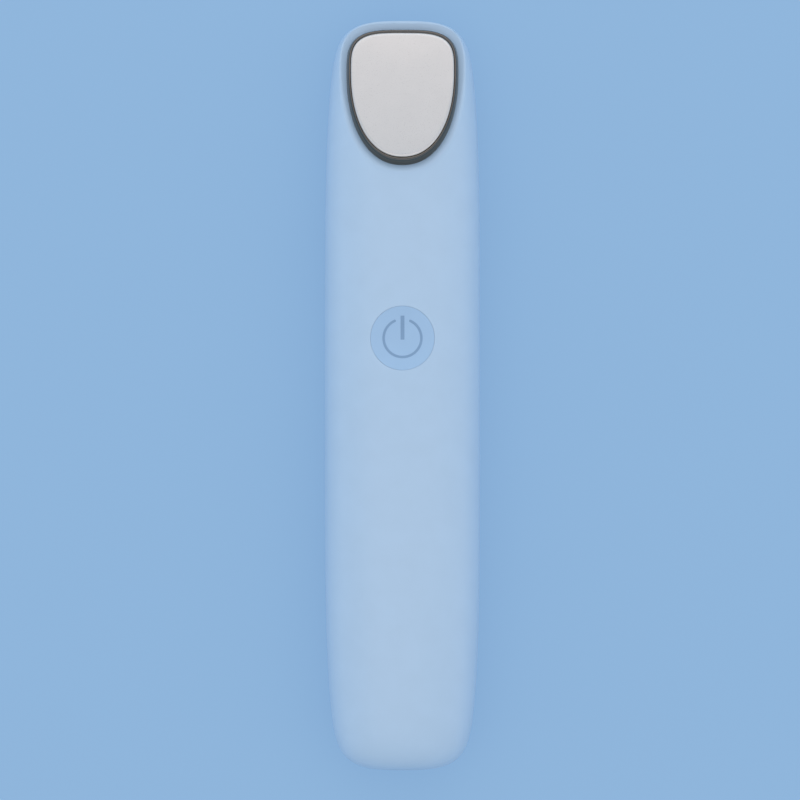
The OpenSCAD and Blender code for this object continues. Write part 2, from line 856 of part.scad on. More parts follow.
motor_pads = [-4.6, -2.9];
heater_pads = [-0.9, 0.9];
thermistor_pads = [2.9, 4.6];
charge_pads = [2, 4.6];

module solder_joints() {
    color("lightgray") {
        for (x = concat(motor_pads, heater_pads, thermistor_pads))
            translate([x, pad_y, board_top]) joint();
        for (x = charge_pads) {
            translate([x, board_y + 1.6, board_top]) joint();
            translate([x - 3.3, charge_end - 1, charge_top]) joint();
        }
    }
}

module joint() {
    difference() {
        sphere(joint_r);
        rod(far / 4, -far / 4, 0);
    }
}

// ---------- Battery ----------

socket_x = -2.6;
socket_w = 5;
socket_l = 4.4;
socket_h = 2.6;
plug_inset = 0.55;
plug_l = 3.6;

module battery_socket() {
    color("ivory") translate([socket_x - socket_w / 2, board_y + 0.4, board_top]) difference() {
        cube([socket_w, socket_l, socket_h]);
        translate([plug_inset, -1, plug_inset])
            cube([socket_w - 2 * plug_inset, socket_l, socket_h - 2 * plug_inset]);
    }
}

module battery_plug() {
    g = plug_inset + touch_gap;
    color("white") translate([socket_x - socket_w / 2 + g, board_y - 0.4, board_top + g])
        cube([socket_w - 2 * g, plug_l, socket_h - 2 * g]);
}

module battery_cell() {
    r = 1.4;
    color("silver") translate([0, battery_y, battery_z + battery_t / 2]) rotate([-90, 0, 0])
        linear_extrude(battery_l) union() {
            square([battery_w - 2 * r, battery_t], center = true);
            square([battery_w, battery_t - 2 * r], center = true);
            for (x = [-1, 1], z = [-1, 1])
                translate([x * (battery_w / 2 - r), z * (battery_t / 2 - r)]) circle(r);
        }
}

module protection_board() {
    color("green") translate([-battery_w / 2 + 1.5, battery_end, battery_z + 1.2])
        cube([battery_w - 3, protection_t, battery_t - 2.4]);
}

// Strip of tape folded over the cell's end and its protection board
module battery_tape() {
    w = battery_w - 3.4;
    t = tape_t;
    g = 0.02;
    color("orange") translate([-w / 2, 0, 0]) {
        for (z = [battery_z - g - t, battery_top + g])
            translate([0, battery_end - tape_wrap, z])
                cube([w, tape_wrap + protection_t + g + t, t]);
        difference() {
            translate([0, battery_end + protection_t + g, battery_z - g - t])
                cube([w, t, battery_t + 2 * (g + t)]);
            translate([w / 2 - 2.2, battery_end, battery_z + battery_t / 2 - 0.9])
                cube([4.4, 3, 1.8]);
        }
    }
}

module battery_pads() {
    color("gray") for (y = [battery_y + 3, battery_end - tape_wrap - 9])
        translate([-battery_w * 0.35, y, floor_top]) cube([battery_w * 0.7, 7, pad_t]);
}

// ---------- Chassis ----------

module chassis() {
    y0 = charge_y + 1.2;
    y1 = board_end + 2 * tower_reach - 0.4;
    wall_x = battery_w / 2 + 0.3;
    rail_t = 1.2;
    rib_t = 1;
    color("whitesmoke") difference() {
        intersection() {
            form(wall_t + chassis_gap, -1, 1);
            union() {
                translate([-far / 2, y0, floor_z]) cube([far, y1 - y0, floor_t]);
                for (x = [0, 1]) mirror([x, 0, 0]) translate([wall_x, battery_y - 1, floor_z]) {
                    cube([rail_t, battery_l + 2, battery_z + battery_t / 2 - floor_z]);
                    translate([-1, 0, 0]) cube([1 + rail_t, battery_l + 2, floor_t + 0.3]);
                }
                for (y = [battery_y - rib_t - 0.3, battery_end + protection_t + tape_t + 0.3])
                    translate([-wall_x, y, floor_z]) cube([2 * wall_x, rib_t, 2.6 + floor_t]);
                at_each(tower_sites) rod(tower_r, floor_z, deck_z);
                at_each(board_sites) rod(post_r, floor_z, board_z);
                at_each(charge_sites) rod(post_r, floor_z, charge_z);
            }
        }
        at_each(tower_sites) {
            rod(screw_d / 2 + 0.15, floor_z - 1, deck_z + 1);
            rod(screw_head_d / 2 + 0.2, floor_z - 1, deck_z - seat_drop);
        }
        at_each(board_sites) rod(small_screw_d / 2 + 0.03, board_z - small_screw_l, board_z + 1);
        at_each(charge_sites)
            rod(small_screw_d / 2 + 0.03, charge_z - small_screw_l, charge_z + 1);
        for (y = [floor_window, battery_y + battery_l / 2, board_y + board_l / 2])
            translate([0, y, 0]) rod(3, floor_z - 1, floor_top + 1);
    }
}

floor_window = (battery_y + charge_end) / 2;

module chassis_screws() {
    color("silver") at_each(tower_sites) translate([0, 0, deck_z - seat_drop])
        screw(screw_d, screw_l + seat_drop - 0.4, screw_head_d, screw_head_h);
}

// ---------- Charging port ----------

module charge_board() {
    color("darkgreen") difference() {
        translate([-charge_w / 2, charge_y, charge_z])
            cube([charge_w, charge_end - charge_y, charge_t]);
        at_each(charge_sites) rod(small_screw_d / 2 + 0.1, charge_z - 1, charge_top + 1);
    }
}

module charge_screws() {
    color("silver") at_each(charge_sites) translate([0, 0, charge_top]) mirror([0, 0, 1])
        screw(small_screw_d, small_screw_l, small_head_d, small_head_h);
}

module port_shell() {
    color("silver") translate([0, port_y, port_z]) difference() {
        round_bar(port_w, port_h, port_l);
        translate([0, -1, 0])
            round_bar(port_w - 2 * port_skin, port_h - 2 * port_skin, port_l - port_back + 1);
    }
}

module port_tongue() {
    tongue_w = port_w - 2.3;
    block_l = 2;
    g = 2 * (port_skin + touch_gap);
    color("black") translate([0, port_y, port_z]) {
        translate([-tongue_w / 2, 0.9, -0.35]) cube([tongue_w, port_l - port_back - 1, 0.7]);
        translate([0, port_l - port_back - block_l, 0]) round_bar(port_w - g, port_h - g, block_l);
    }
}

// ---------- Leads ----------

// Point in the slanted face's frame, in the wand's frame
function head_point(p) = [p[0], rim_y + p[1] * cos(head_tilt) + p[2] * sin(head_tilt),
    rim_z - p[1] * sin(head_tilt) + p[2] * cos(head_tilt)];

lead_lift = joint_r * 0.55;

module motor_leads() {
    colors = ["red", "blue"];
    for (i = [0, 1]) let (x = i == 0 ? -1.9 : 0.4, p = motor_pads[i]) color(colors[i])
        lead([[x, motor_y - 0.1, motor_z], [x, motor_y - 0.9, motor_z],
            [x, motor_y - 2, motor_z + 0.5], [(x + p) / 2, motor_y - 4.5, motor_z + 2.6],
            [p, pad_y + 3, board_top + 1.2],
            [p, pad_y + joint_r, board_top + lead_lift]], lead_r);
}

module heater_leads() {
    for (i = [0, 1]) let (x = i == 0 ? -2.4 : -0.9, p = heater_pads[i]) color("white")
        lead([head_point([x, lead_window_y + 0.9, film_z - lead_r - 0.05]),
            head_point([x, lead_window_y + 0.1, film_z - lead_r - 0.5]),
            head_point([x, lead_window_y - 0.2, -skirt_depth]),
            head_point([x, lead_window_y - 0.6, -skirt_depth - bracket_t - 0.8]),
            [(x + p) / 2, (rim_y - 15 + pad_y) / 2, board_top + 2.2],
            [p, pad_y + 2.4, board_top + 1.2],
            [p, pad_y + joint_r, board_top + lead_lift]], lead_r);
}

module thermistor_leads() {
    r = fine_lead_r;
    for (i = [0, 1]) let (x = i == 0 ? -0.45 : 0.45, q = i == 0 ? 1.2 : 2.4,
            p = thermistor_pads[i]) color("khaki")
        lead([head_point([x, -1 - bead_r, film_z - r - 0.1]),
            head_point([x, -3.5, film_z - r - 0.2]),
            head_point([x, lead_window_y + 2.6, film_z - r - 0.25]),
            head_point([q, lead_window_y + 0.5, film_z - r - 1]),
            head_point([q, lead_window_y, -skirt_depth]),
            head_point([q, lead_window_y - 0.6, -skirt_depth - bracket_t - 0.8]),
            [(q + p) / 2, (rim_y - 16 + pad_y) / 2, board_top + 3],
            [p, pad_y + 2.4, board_top + 1.4],
            [p, pad_y + joint_r, board_top + lead_lift]], r);
}

module battery_leads() {
    colors = ["red", "black"];
    y0 = battery_end + protection_t;
    mid_z = battery_z + battery_t / 2;
    plug_z = board_top + socket_h / 2;
    for (i = [0, 1]) let (dx = i == 0 ? -0.9 : 0.9) color(colors[i])
        lead([[dx, y0 + 0.06, mid_z], [dx, y0 + 0.8, mid_z], [dx - 0.8, y0 + 2.2, mid_z + 1.2],
            [socket_x + dx, board_y - 2.6, plug_z - 0.1], [socket_x + dx, board_y - 1.4, plug_z],
            [socket_x + dx, board_y - 0.45, plug_z]], lead_r);
}

module charge_leads() {
    colors = ["red", "black"];
    top = battery_top + tape_t + lead_r + 0.15;
    for (i = [0, 1]) let (p = charge_pads[i], q = p - 3.3) color(colors[i])
        lead([[q, charge_end - 1 + joint_r, charge_top + lead_lift],
            [q, charge_end + 1.4, charge_top + 1.2],
            [(p + q) / 2, battery_y - 2.2, battery_top - 1.4],
            [p, battery_y + 1.4, top],
            [p, battery_y + battery_l / 2, top],
            [p, battery_end - 1.5, top],
            [p, battery_end + protection_t + 1.6, top - 0.2],
            [p, board_y - 0.6, board_top + 1.2],
            [p, board_y + 1.6 - joint_r, board_top + lead_lift]], lead_r);
}

front_shell();
rear_shell();
plate_rim();
heat_plate();
heater_film();
thermistor();
sponge_pad();
head_bracket();
bracket_screws();
motor_can();
motor_end_cap();
motor_bush();
motor_magnet();
motor_boot();
motor_strap();
strap_screws();
motor_shaft();
motor_armature();
motor_weight();
button_cap();
power_mark();
main_board();
board_screws();
switch_base();
switch_plunger();
switch_legs();
button_leds();
board_chips();
board_passives();
solder_joints();
battery_socket();
battery_plug();
battery_cell();
protection_board();
battery_tape();
battery_pads();
chassis();
chassis_screws();
charge_board();
charge_screws();
port_shell();
port_tongue();
motor_leads();
heater_leads();
thermistor_leads();
battery_leads();
charge_leads();
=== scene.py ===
import math

import bmesh
import bpy
import numpy as np
from bpy.props import FloatProperty, FloatVectorProperty, PointerProperty
from mathutils import Matrix, Vector


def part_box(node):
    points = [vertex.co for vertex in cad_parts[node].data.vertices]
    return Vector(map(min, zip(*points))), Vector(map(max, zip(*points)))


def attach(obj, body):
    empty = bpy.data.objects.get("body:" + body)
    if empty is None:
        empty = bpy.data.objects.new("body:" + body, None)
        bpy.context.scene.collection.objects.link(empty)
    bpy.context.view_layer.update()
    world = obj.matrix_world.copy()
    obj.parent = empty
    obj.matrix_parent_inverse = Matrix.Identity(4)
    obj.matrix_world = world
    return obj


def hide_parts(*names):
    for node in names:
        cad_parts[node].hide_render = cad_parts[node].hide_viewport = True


bl_info = {
    "name": "Heated eye massager wand",
    "version": (1, 0, 0),
    "blender": (4, 5, 0),
    "location": "View3D > Sidebar > Wand",
    "description": "Builds the visible shells, head, button and port of a heated eye massager wand",
    "category": "Object",
}

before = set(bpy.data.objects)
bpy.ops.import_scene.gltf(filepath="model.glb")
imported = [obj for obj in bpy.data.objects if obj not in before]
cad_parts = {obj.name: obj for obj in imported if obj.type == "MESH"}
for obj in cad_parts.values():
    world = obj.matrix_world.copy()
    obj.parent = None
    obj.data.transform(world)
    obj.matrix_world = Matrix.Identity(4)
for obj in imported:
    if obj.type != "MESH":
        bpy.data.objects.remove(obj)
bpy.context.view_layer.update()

MM = 0.001

# ---------- What the frame says ----------

FRONT_LOW, FRONT_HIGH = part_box("front_shell")
REAR_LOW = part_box("rear_shell")[0]
CAP_LOW, CAP_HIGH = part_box("button_cap")
PORT_LOW, PORT_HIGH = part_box("port_shell")
TONGUE_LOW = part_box("port_tongue")[0]

BODY_L = FRONT_HIGH.y - FRONT_LOW.y
BODY_W = FRONT_HIGH.x - FRONT_LOW.x
SEAM_Z = FRONT_LOW.z
FLANGE_R = (CAP_HIGH.x - CAP_LOW.x) / 2
BUTTON_Y = (CAP_LOW.y + CAP_HIGH.y) / 2

# Curves of the body, where u runs from 0 at the middle to 1 at either end: how its ends round
# off, how its sides and its two depths taper, and how square its section is
END_POWER = 27.6
END_SHARP = 3.3
END_FLAT = 0.0015
SIDE_TAPER = 0.177
SIDE_POWER = 4.63
FRONT_TAPER = 0.2
FRONT_POWER = 4
REAR_TAPER = 0.25
REAR_POWER = 5
FLAT_SINK = 0.35 * MM
SECTION_POWER = 2.5

# The rim's outline is one superellipse above its widest line and another below it
UPPER_POWER = 3.5
LOWER_POWER = 2.2


def srgb(code):
    """Linear colour of an sRGB hex value."""
    parts = [int(code[i:i + 2], 16) / 255 for i in (1, 3, 5)]
    return tuple(c / 12.92 if c <= 0.04045 else ((c + 0.055) / 1.055) ** 2.4 for c in parts)


# ---------- Sizes and colours that a user would change ----------

def length(name, description, default):
    """A length that a user can set, in metres."""
    return FloatProperty(name=name, description=description, default=default, min=0,
        precision=5, unit="LENGTH")


def colour(name, description, code):
    """A colour that a user can set, from its sRGB hex value."""
    return FloatVectorProperty(name=name, description=description, default=srgb(code), min=0,
        max=1, subtype="COLOR")


class WandBodySizes(bpy.types.PropertyGroup):
    """Sizes of the two shells."""
    length: length("Length", "Overall length of the wand", BODY_L)
    width: length("Width", "Width at the widest section", BODY_W)
    front_depth: length("Front depth", "From the seam to the crown", FRONT_HIGH.z - SEAM_Z)
    rear_depth: length("Rear depth", "From the seam to the resting flat", SEAM_Z - REAR_LOW.z)
    seam_z: length("Seam height", "Height of the seam above the resting flat", SEAM_Z)
    wall: length("Wall", "Wall of both shells", 1.6 * MM)
    seam_chamfer: length("Seam chamfer", "Broken edge of each shell at the seam", 0.14 * MM)
    cut_length: length("Slant length", "Length of the slanted face", 27.3 * MM)
    cut_tilt: FloatProperty(name="Slant", description="Tilt of the slanted face",
        default=math.radians(14), subtype="ANGLE")
    cut_round: length("Slant rounding", "Softness of the slanted face's edge", 0.3 * MM)
    mouth_round: length("Mouth rounding", "Rounded edge of the port's opening", 0.22 * MM)


class WandHeadSizes(bpy.types.PropertyGroup):
    """Sizes of the plated rim and the massage plate."""
    rim_from_end: length("Rim place", "From the head end to the rim's widest line", 9.5 * MM)
    rim_width: length("Rim width", "Width of the rim at its base", 19.6 * MM)
    rim_up: length("Rim upper reach", "Length of the rim above its widest line", 8 * MM)
    rim_down: length("Rim lower reach", "Length of the rim below its widest line", 16.8 * MM)
    rim_height: length("Rim height", "Height above the slanted face", 1.2 * MM)
    rim_sunk: length("Rim root", "Depth of the rim under the slanted face", 0.6 * MM)
    rim_draft: length("Rim draft", "Inward lean of the outer wall", 0.35 * MM)
    rim_side: length("Rim line, sides", "Width of the rim's line at its sides", 0.75 * MM)
    rim_end: length("Rim line, ends", "Width of the rim's line at its ends", 1 * MM)
    recess_width: length("Recess width", "Width of the sloping recess round the rim", 1.25 * MM)
    recess_depth: length("Recess depth", "Depth of the recess at the rim", 0.45 * MM)
    opening_inset: length("Opening inset", "From the rim's outline to the shell's opening", 0.8 * MM)
    plate_gap: length("Plate gap", "Gap between the plate and the rim", 0.03 * MM)
    plate_thickness: length("Plate thickness", "Thickness of the massage plate", 1.3 * MM)
    plate_proud: length("Plate height", "Height of the plate above the rim", 0.4 * MM)
    plate_bevel: length("Plate edge width", "Width of the plate's rounded edge", 0.55 * MM)
    plate_drop: length("Plate edge depth", "Depth of the plate's rounded edge", 0.18 * MM)
    plate_crown: length("Plate crown", "Rise of the plate's middle over its edge", 0.12 * MM)


class WandButtonSizes(bpy.types.PropertyGroup):
    """Sizes of the power button and its mark."""
    hole_radius: length("Hole radius", "Radius of the opening for the cap", FLANGE_R - 0.9 * MM)
    gap: length("Gap", "Gap around the cap", 0.02 * MM)
    drop: length("Cap drop", "Depth of the cap's edge under the crown", 0.02 * MM)
    dish: length("Dish", "Depth of the finger dish", 0.55 * MM)
    edge: length("Edge rounding", "Rounded edge of the cap", 0.03 * MM)
    lip: length("Lip rounding", "Rounded edge of the opening for the cap", 0.02 * MM)
    mark_radius: length("Mark radius", "Outer radius of the power mark's ring", 3.5 * MM)
    mark_line: length("Mark line", "Line width of the ring", 0.43 * MM)
    mark_bar: length("Mark bar width", "Width of the power mark's bar", 0.65 * MM)
    mark_open: FloatProperty(name="Mark opening", description="Half angle of the ring's gap",
        default=math.radians(20.5), subtype="ANGLE")


class WandColours(bpy.types.PropertyGroup):
    """Colours of the pieces that show."""
    housing: colour("Housing", "Moulded shells", "#A1C0DF")
    button: colour("Button", "Button cap", "#92B7DD")
    mark: colour("Mark", "Power mark", "#7397BD")
    rim: colour("Rim", "Plated rim", "#70695F")
    plate: colour("Plate", "Massage plate", "#D3D1CC")
    backdrop: colour("Backdrop", "Floor and backdrop", "#8EB5DC")


# ---------- Curves and surfaces of the body ----------

def squared(angle, power):
    """Cosine and sine of a superellipse, so power 2 gives a circle."""
    c = np.cos(angle)
    s = np.sin(angle)
    return np.sign(c) * np.abs(c) ** (2 / power), np.sign(s) * np.abs(s) ** (2 / power)


def end_round(u):
    """Share of the full section that is left at u, down to nothing at the end."""
    return np.clip(1 - u ** END_POWER, 0, 1) ** (1 / END_SHARP)


def section(body, u, side, inset):
    """Half width and depth of the front (side 1) or rear (side -1) half at u."""
    tip = end_round(u * (1 - END_FLAT) if inset else u)
    if side > 0:
        depth = body.front_depth * (1 - FRONT_TAPER * u ** FRONT_POWER)
    else:
        depth = (body.rear_depth + FLAT_SINK) * (1 - REAR_TAPER * u ** REAR_POWER)
    width = body.width / 2 * (1 - SIDE_TAPER * u ** SIDE_POWER)
    return width * tip - inset, depth * tip - inset


def crown_z(body, x, y, inset=0):
    """Height of the front's surface over a point of the plan."""
    w, d = section(body, np.abs(y) / (body.length / 2 - inset), 1, inset)
    share = np.minimum(1, np.abs(x) / w)
    return body.seam_z + d * (1 - share ** SECTION_POWER) ** (1 / SECTION_POWER)


def slant_z(body, y):
    """Height of the slanted face."""
    cut_y = body.length / 2 - body.cut_length
    return crown_z(body, 0, cut_y) - (y - cut_y) * math.tan(body.cut_tilt)


def soft_min(a, b, soft):
    """The lower of two heights, with the corner between them rounded."""
    share = np.clip(0.5 + 0.5 * (b - a) / soft, 0, 1)
    return b + (a - b) * share - soft * share * (1 - share)


FOOT_SEARCH_FROM = 0.9
HALVINGS = 40


def foot_y(body, x, h, side, inset):
    """Place along the body where the foot's surface passes a point of the section."""
    low = np.full(x.shape, FOOT_SEARCH_FROM)
    high = np.ones(x.shape)
    for _ in range(HALVINGS):
        u = (low + high) / 2
        w, d = section(body, u, side, inset)
        w = np.maximum(w, 1e-6)
        d = np.maximum(d, 1e-6)
        outside = (np.abs(x) / w) ** SECTION_POWER + (h / d) ** SECTION_POWER > 1
        high = np.where(outside, u, high)
        low = np.where(outside, low, u)
    return -(body.length / 2 - inset) * low


def stadium(angle, half_w, half_h):
    """Point of a round-ended slot's outline in the direction of an angle, both as arrays."""
    c = np.cos(angle)
    s = np.sin(angle)
    flat = half_w - half_h
    straight = half_h / np.maximum(s, 1e-9)
    along = flat * np.abs(c)
    arc = along + np.sqrt(np.maximum(0, half_h ** 2 - (flat * s) ** 2))
    reach = np.where(straight * np.abs(c) <= flat, straight, arc)
    return reach * c, reach * s


def egg(head, angle, inset_x, inset_y):
    """The rim's outline in the slanted face's own frame, drawn in by two insets."""
    upper = np.sin(angle) > 0
    x_up, y_up = squared(angle, UPPER_POWER)
    x_low, y_low = squared(angle, LOWER_POWER)
    x = (head.rim_width / 2 - inset_x) * np.where(upper, x_up, x_low)
    y = np.where(upper, (head.rim_up - inset_y) * y_up, (head.rim_down - inset_y) * y_low)
    return x, y


def egg_share(scene, x, y, inset):
    """How far out a point of the plan is, where 1 is the rim's outline drawn in by inset."""
    body = scene.wand_body
    head = scene.wand_head
    rim_y = body.length / 2 - head.rim_from_end
    up = y > rim_y
    power = np.where(up, UPPER_POWER, LOWER_POWER)
    a = np.abs(x) / (head.rim_width / 2 - inset)
    b = np.abs(y - rim_y) / math.cos(body.cut_tilt)
    b = b / (np.where(up, head.rim_up, head.rim_down) - inset)
    return (a ** power + b ** power) ** (1 / power)


def recess(scene, x, y):
    """Depth of the sloping recess round the rim under a point of the plan."""
    head = scene.wand_head
    near = np.maximum(1e-6, egg_share(scene, x, y, 0))
    far = np.maximum(1e-6, egg_share(scene, x, y, -head.recess_width))
    past = np.clip((near - 1) / np.maximum(1e-6, near / far - 1), 0, 1)
    return head.recess_depth * (1 - past)


def head_matrix(scene):
    """Turns the slanted face's own frame into the wand's."""
    body = scene.wand_body
    rim_y = body.length / 2 - scene.wand_head.rim_from_end
    place = Matrix.Translation((0, rim_y, float(slant_z(body, rim_y))))
    return place @ Matrix.Rotation(-body.cut_tilt, 4, "X")


# ---------- Mesh helpers ----------

SMOOTH_ANGLE = math.radians(38)
SAME_POINT = 1e-7


def make_piece(name, points, faces):
    """Piece from points and faces."""
    mesh = bpy.data.meshes.new(name)
    mesh.from_pydata(np.asarray(points).tolist(), [], faces)
    return add_piece(name, mesh)


def add_piece(name, mesh):
    """Object for a mesh: doubles merged, faces turned outwards, shaded smooth up to its edges."""
    bm = bmesh.new()
    bm.from_mesh(mesh)
    loose = [v for v in bm.verts if not v.link_faces]
    bmesh.ops.delete(bm, geom=loose, context="VERTS")
    bmesh.ops.remove_doubles(bm, verts=bm.verts, dist=SAME_POINT)
    bmesh.ops.recalc_face_normals(bm, faces=bm.faces)
    for face in bm.faces:
        face.smooth = True
    for edge in bm.edges:
        edge.smooth = edge.calc_face_angle(0) < SMOOTH_ANGLE
    bm.to_mesh(mesh)
    bm.free()
    piece = bpy.data.objects.new(name, mesh)
    bpy.context.scene.collection.objects.link(piece)
    return piece


def seat(piece, material, body, slot, *nodes):
    """Gives a finished piece its material and its body, and hides the nodes it stands for. The slot
    is not used.
    """
    piece.data.materials.clear()
    piece.data.materials.append(material)
    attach(piece, body)
    if nodes:
        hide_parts(*nodes)


def ring_faces(rings, count, start=0):
    """Quads between closed rings of the same number of points."""
    return [[start + r * count + k, start + r * count + (k + 1) % count,
        start + (r + 1) * count + (k + 1) % count, start + (r + 1) * count + k]
        for r in range(rings - 1) for k in range(count)]


def lathe(name, rings):
    """Closed piece over rings of points, with a fan to the middle of the first and the last."""
    count = len(rings[0])
    points = np.concatenate([*rings, rings[0].mean(0)[None], rings[-1].mean(0)[None]])
    first = len(rings) * count
    last_ring = first - count
    fans = [[(k + 1) % count, k, first] for k in range(count)]
    fans += [[last_ring + k, last_ring + (k + 1) % count, first + 1] for k in range(count)]
    return make_piece(name, points, ring_faces(len(rings), count) + fans)


# ---------- Shells ----------

# Columns over each half section, heights of the extra columns at the seam in chamfers, rings
# of the foot's patch and of the mouth's rounding, and samples that even spacing is read from
COLUMNS = 144
SEAM_COLUMNS = (0.5, 1, 1.6)
PATCH_RINGS = 8
MOUTH_STEPS = 4
FOOT_SAMPLES = 300
TIP_SAMPLES = 1500
DENSE_SAMPLES = 4000
# Shares of the section where the foot's patch ends and where the rounded ends are taken over
FOOT_TIP = 0.8
ROUND_TIP = 0.98
# Up to here the inner surface has the outer one's rows
STRAIGHT_Y = 58 * MM
# Rounding where the rear turns into its resting flat, and the gap around the port
FLAT_ROUND = 0.25 * MM
PORT_GAP = 0.15 * MM
# Spacing of the rows along each shell, finer at the rear's ends, the head and the button
REAR_STEP = 1.1 * MM
REAR_END_STEP = 0.6 * MM
REAR_END_Y = 55 * MM
FRONT_STEP = 0.9 * MM
HEAD_STEP = 0.24 * MM
HEAD_Y = 36 * MM
BUTTON_STEP = 0.4 * MM
# Half side of the block of cells that the button's opening takes, how far the finer rows run
# past it, the rings from the block to the lip and over the lip, and the collar under them
BUTTON_BLOCK = 7.6 * MM
BLOCK_MARGIN = 1 * MM
WELL_RINGS = 7
LIP_STEPS = 4
COLLAR_T = 1.3 * MM
SEAT_DROP = 0.35 * MM
# How near the recess's border, as a share of its size, points move onto it, and how high
# above the seam they have to be
BORDER_REACH = 0.011
BORDER_UP = 2 * MM


def stations(body, side, spacing):
    """Places along the body from the foot's patch to the head's pole, spacing(y) apart."""
    half = body.length / 2
    foot = np.linspace(FOOT_TIP, ROUND_TIP, FOOT_SAMPLES)
    tip = np.linspace(ROUND_TIP, 0, TIP_SAMPLES)
    tip_y = half * (1 - tip ** END_SHARP) ** (1 / END_POWER)
    foot_rows = -half * (1 - foot ** END_SHARP) ** (1 / END_POWER)
    middle = np.linspace(foot_rows[-1], tip_y[0], DENSE_SAMPLES)
    y = np.concatenate([foot_rows[:-1], middle[:-1], tip_y])
    depth = section(body, np.abs(y) / half, side, 0)[1]
    steps = np.hypot(np.diff(y), np.diff(depth)) / spacing((y[1:] + y[:-1]) / 2)
    reach = np.concatenate([[0], np.cumsum(steps)])
    return np.interp(np.linspace(0, reach[-1], math.ceil(reach[-1]) + 1), reach, y)


def column_angles(body):
    """Angles over a half section, even along its arc and close at the seam's chamfer."""
    dense = np.linspace(0, np.pi / 2, DENSE_SAMPLES)
    x, z = squared(dense, SECTION_POWER)
    steps = np.hypot(np.diff(x * body.width / 2), np.diff(z * body.front_depth))
    reach = np.concatenate([[0], np.cumsum(steps)])
    even = np.interp(np.linspace(0, reach[-1], COLUMNS // 2 + 1), reach, dense)
    heights = np.array(SEAM_COLUMNS) * body.seam_chamfer / body.front_depth
    near_seam = np.arcsin(heights ** (SECTION_POWER / 2))
    quarter = np.sort(np.concatenate([even, near_seam]))
    return np.concatenate([quarter, np.pi - quarter[-2::-1]])


def mouth_rows(body, side, inset, ring):
    """Rows from the port's wall, round its edge and over the foot to the ring's points."""
    half_w = (PORT_HIGH.x - PORT_LOW.x) / 2 + PORT_GAP
    half_h = (PORT_HIGH.z - PORT_LOW.z) / 2 + PORT_GAP
    angle = np.arctan2(ring[:, 1], ring[:, 0])
    angle[0] = 0
    angle[-1] = np.pi
    edge = body.mouth_round
    rows = []
    for k in range(MOUTH_STEPS + 1):
        turn = np.pi / 2 * k / MOUTH_STEPS
        grow = edge * (1 - np.cos(turn))
        x, h = stadium(angle, half_w + grow, half_h + grow)
        y = foot_y(body, x, h, side, inset)
        sink = 0 if inset else edge * (1 - np.sin(turn))
        rows.append(np.stack([x, y + sink, h], 1))
    rim = rows[-1]
    for k in range(1, PATCH_RINGS):
        x = rim[:, 0] + (ring[:, 0] - rim[:, 0]) * k / PATCH_RINGS
        h = rim[:, 2] + (ring[:, 1] - rim[:, 2]) * k / PATCH_RINGS
        rows.append(np.stack([x, foot_y(body, x, h, side, inset), h], 1))
    return rows


def sheet_points(body, side, inset, rows, angles):
    """Grid of points over the front or rear half, drawn in by inset, with the port's mouth."""
    half = body.length / 2
    y = rows
    if inset:
        squeeze = (half - inset - STRAIGHT_Y) / (half - STRAIGHT_Y)
        past = np.maximum(0, np.abs(rows) - STRAIGHT_Y)
        y = np.sign(rows) * (np.minimum(np.abs(rows), STRAIGHT_Y) + past * squeeze)
    w, d = section(body, np.abs(y) / (half - inset), side, inset)
    across, up = squared(angles, SECTION_POWER)
    x = w[:, None] * across
    h = d[:, None] * up
    x[-1] = 0
    h[-1] = 0
    grid = np.stack([x, np.broadcast_to(y[:, None], x.shape), h], 2)
    mouth = np.stack(mouth_rows(body, side, inset, grid[0][:, [0, 2]]))
    grid = np.concatenate([mouth, grid])
    if not inset:
        lines = np.gradient(grid[:, 0, :2], axis=0)
        lines[:MOUTH_STEPS + PATCH_RINGS] = (1, 0)
        normal = np.stack([lines[:, 1], -lines[:, 0]], 1)
        normal /= np.linalg.norm(normal, axis=1)[:, None]
        low = np.clip(body.seam_chamfer - grid[:, :, 2], 0, body.seam_chamfer)
        low[:MOUTH_STEPS] = 0
        grid[:, :, 0] -= low * normal[:, None, 0] * np.sign(grid[:, :, 0])
        grid[:, :, 1] -= low * normal[:, None, 1]
    grid[:, :, 2] = body.seam_z + side * grid[:, :, 2]
    if side > 0:
        under = inset / math.cos(body.cut_tilt)
        top = slant_z(body, grid[:, :, 1]) - under
        grid[:, :, 2] = soft_min(grid[:, :, 2], top, body.cut_round)
    else:
        grid[:, :, 2] = -soft_min(-grid[:, :, 2], -inset, FLAT_ROUND)
    return grid


def double_sheet(outer, inner, keep, whole):
    """Points and faces of a walled shell over two grids. Cells outside keep are open, and the
    edges of the cells outside whole are closed between the grids."""
    rows, cols = outer.shape[:2]
    points = np.concatenate([outer.reshape(-1, 3), inner.reshape(-1, 3)])
    index = np.arange(rows * cols).reshape(rows, cols)
    corners = np.stack([index[:-1, :-1], index[:-1, 1:], index[1:, 1:], index[1:, :-1]], 2)
    cells = corners[keep]
    other = rows * cols
    faces = cells.tolist() + (cells[:, ::-1] + other).tolist()
    sides = {}
    for cell in corners[whole].tolist():
        for k in range(4):
            edge = (cell[k], cell[(k + 1) % 4])
            if (edge[1], edge[0]) in sides:
                del sides[(edge[1], edge[0])]
            else:
                sides[edge] = True
    faces += [[b, a, a + other, b + other] for a, b in sides
        if np.abs(points[a] - points[b]).max() > SAME_POINT]
    return points, faces


def rear_spacing(y):
    """Distance between rows of the rear shell at y."""
    return np.where(np.abs(y) > REAR_END_Y, REAR_END_STEP, REAR_STEP)


def front_spacing(y):
    """Distance between rows of the front shell at y."""
    near = np.abs(y - BUTTON_Y) < BUTTON_BLOCK + BLOCK_MARGIN
    return np.where(y > HEAD_Y, HEAD_STEP, np.where(near, BUTTON_STEP, FRONT_STEP))


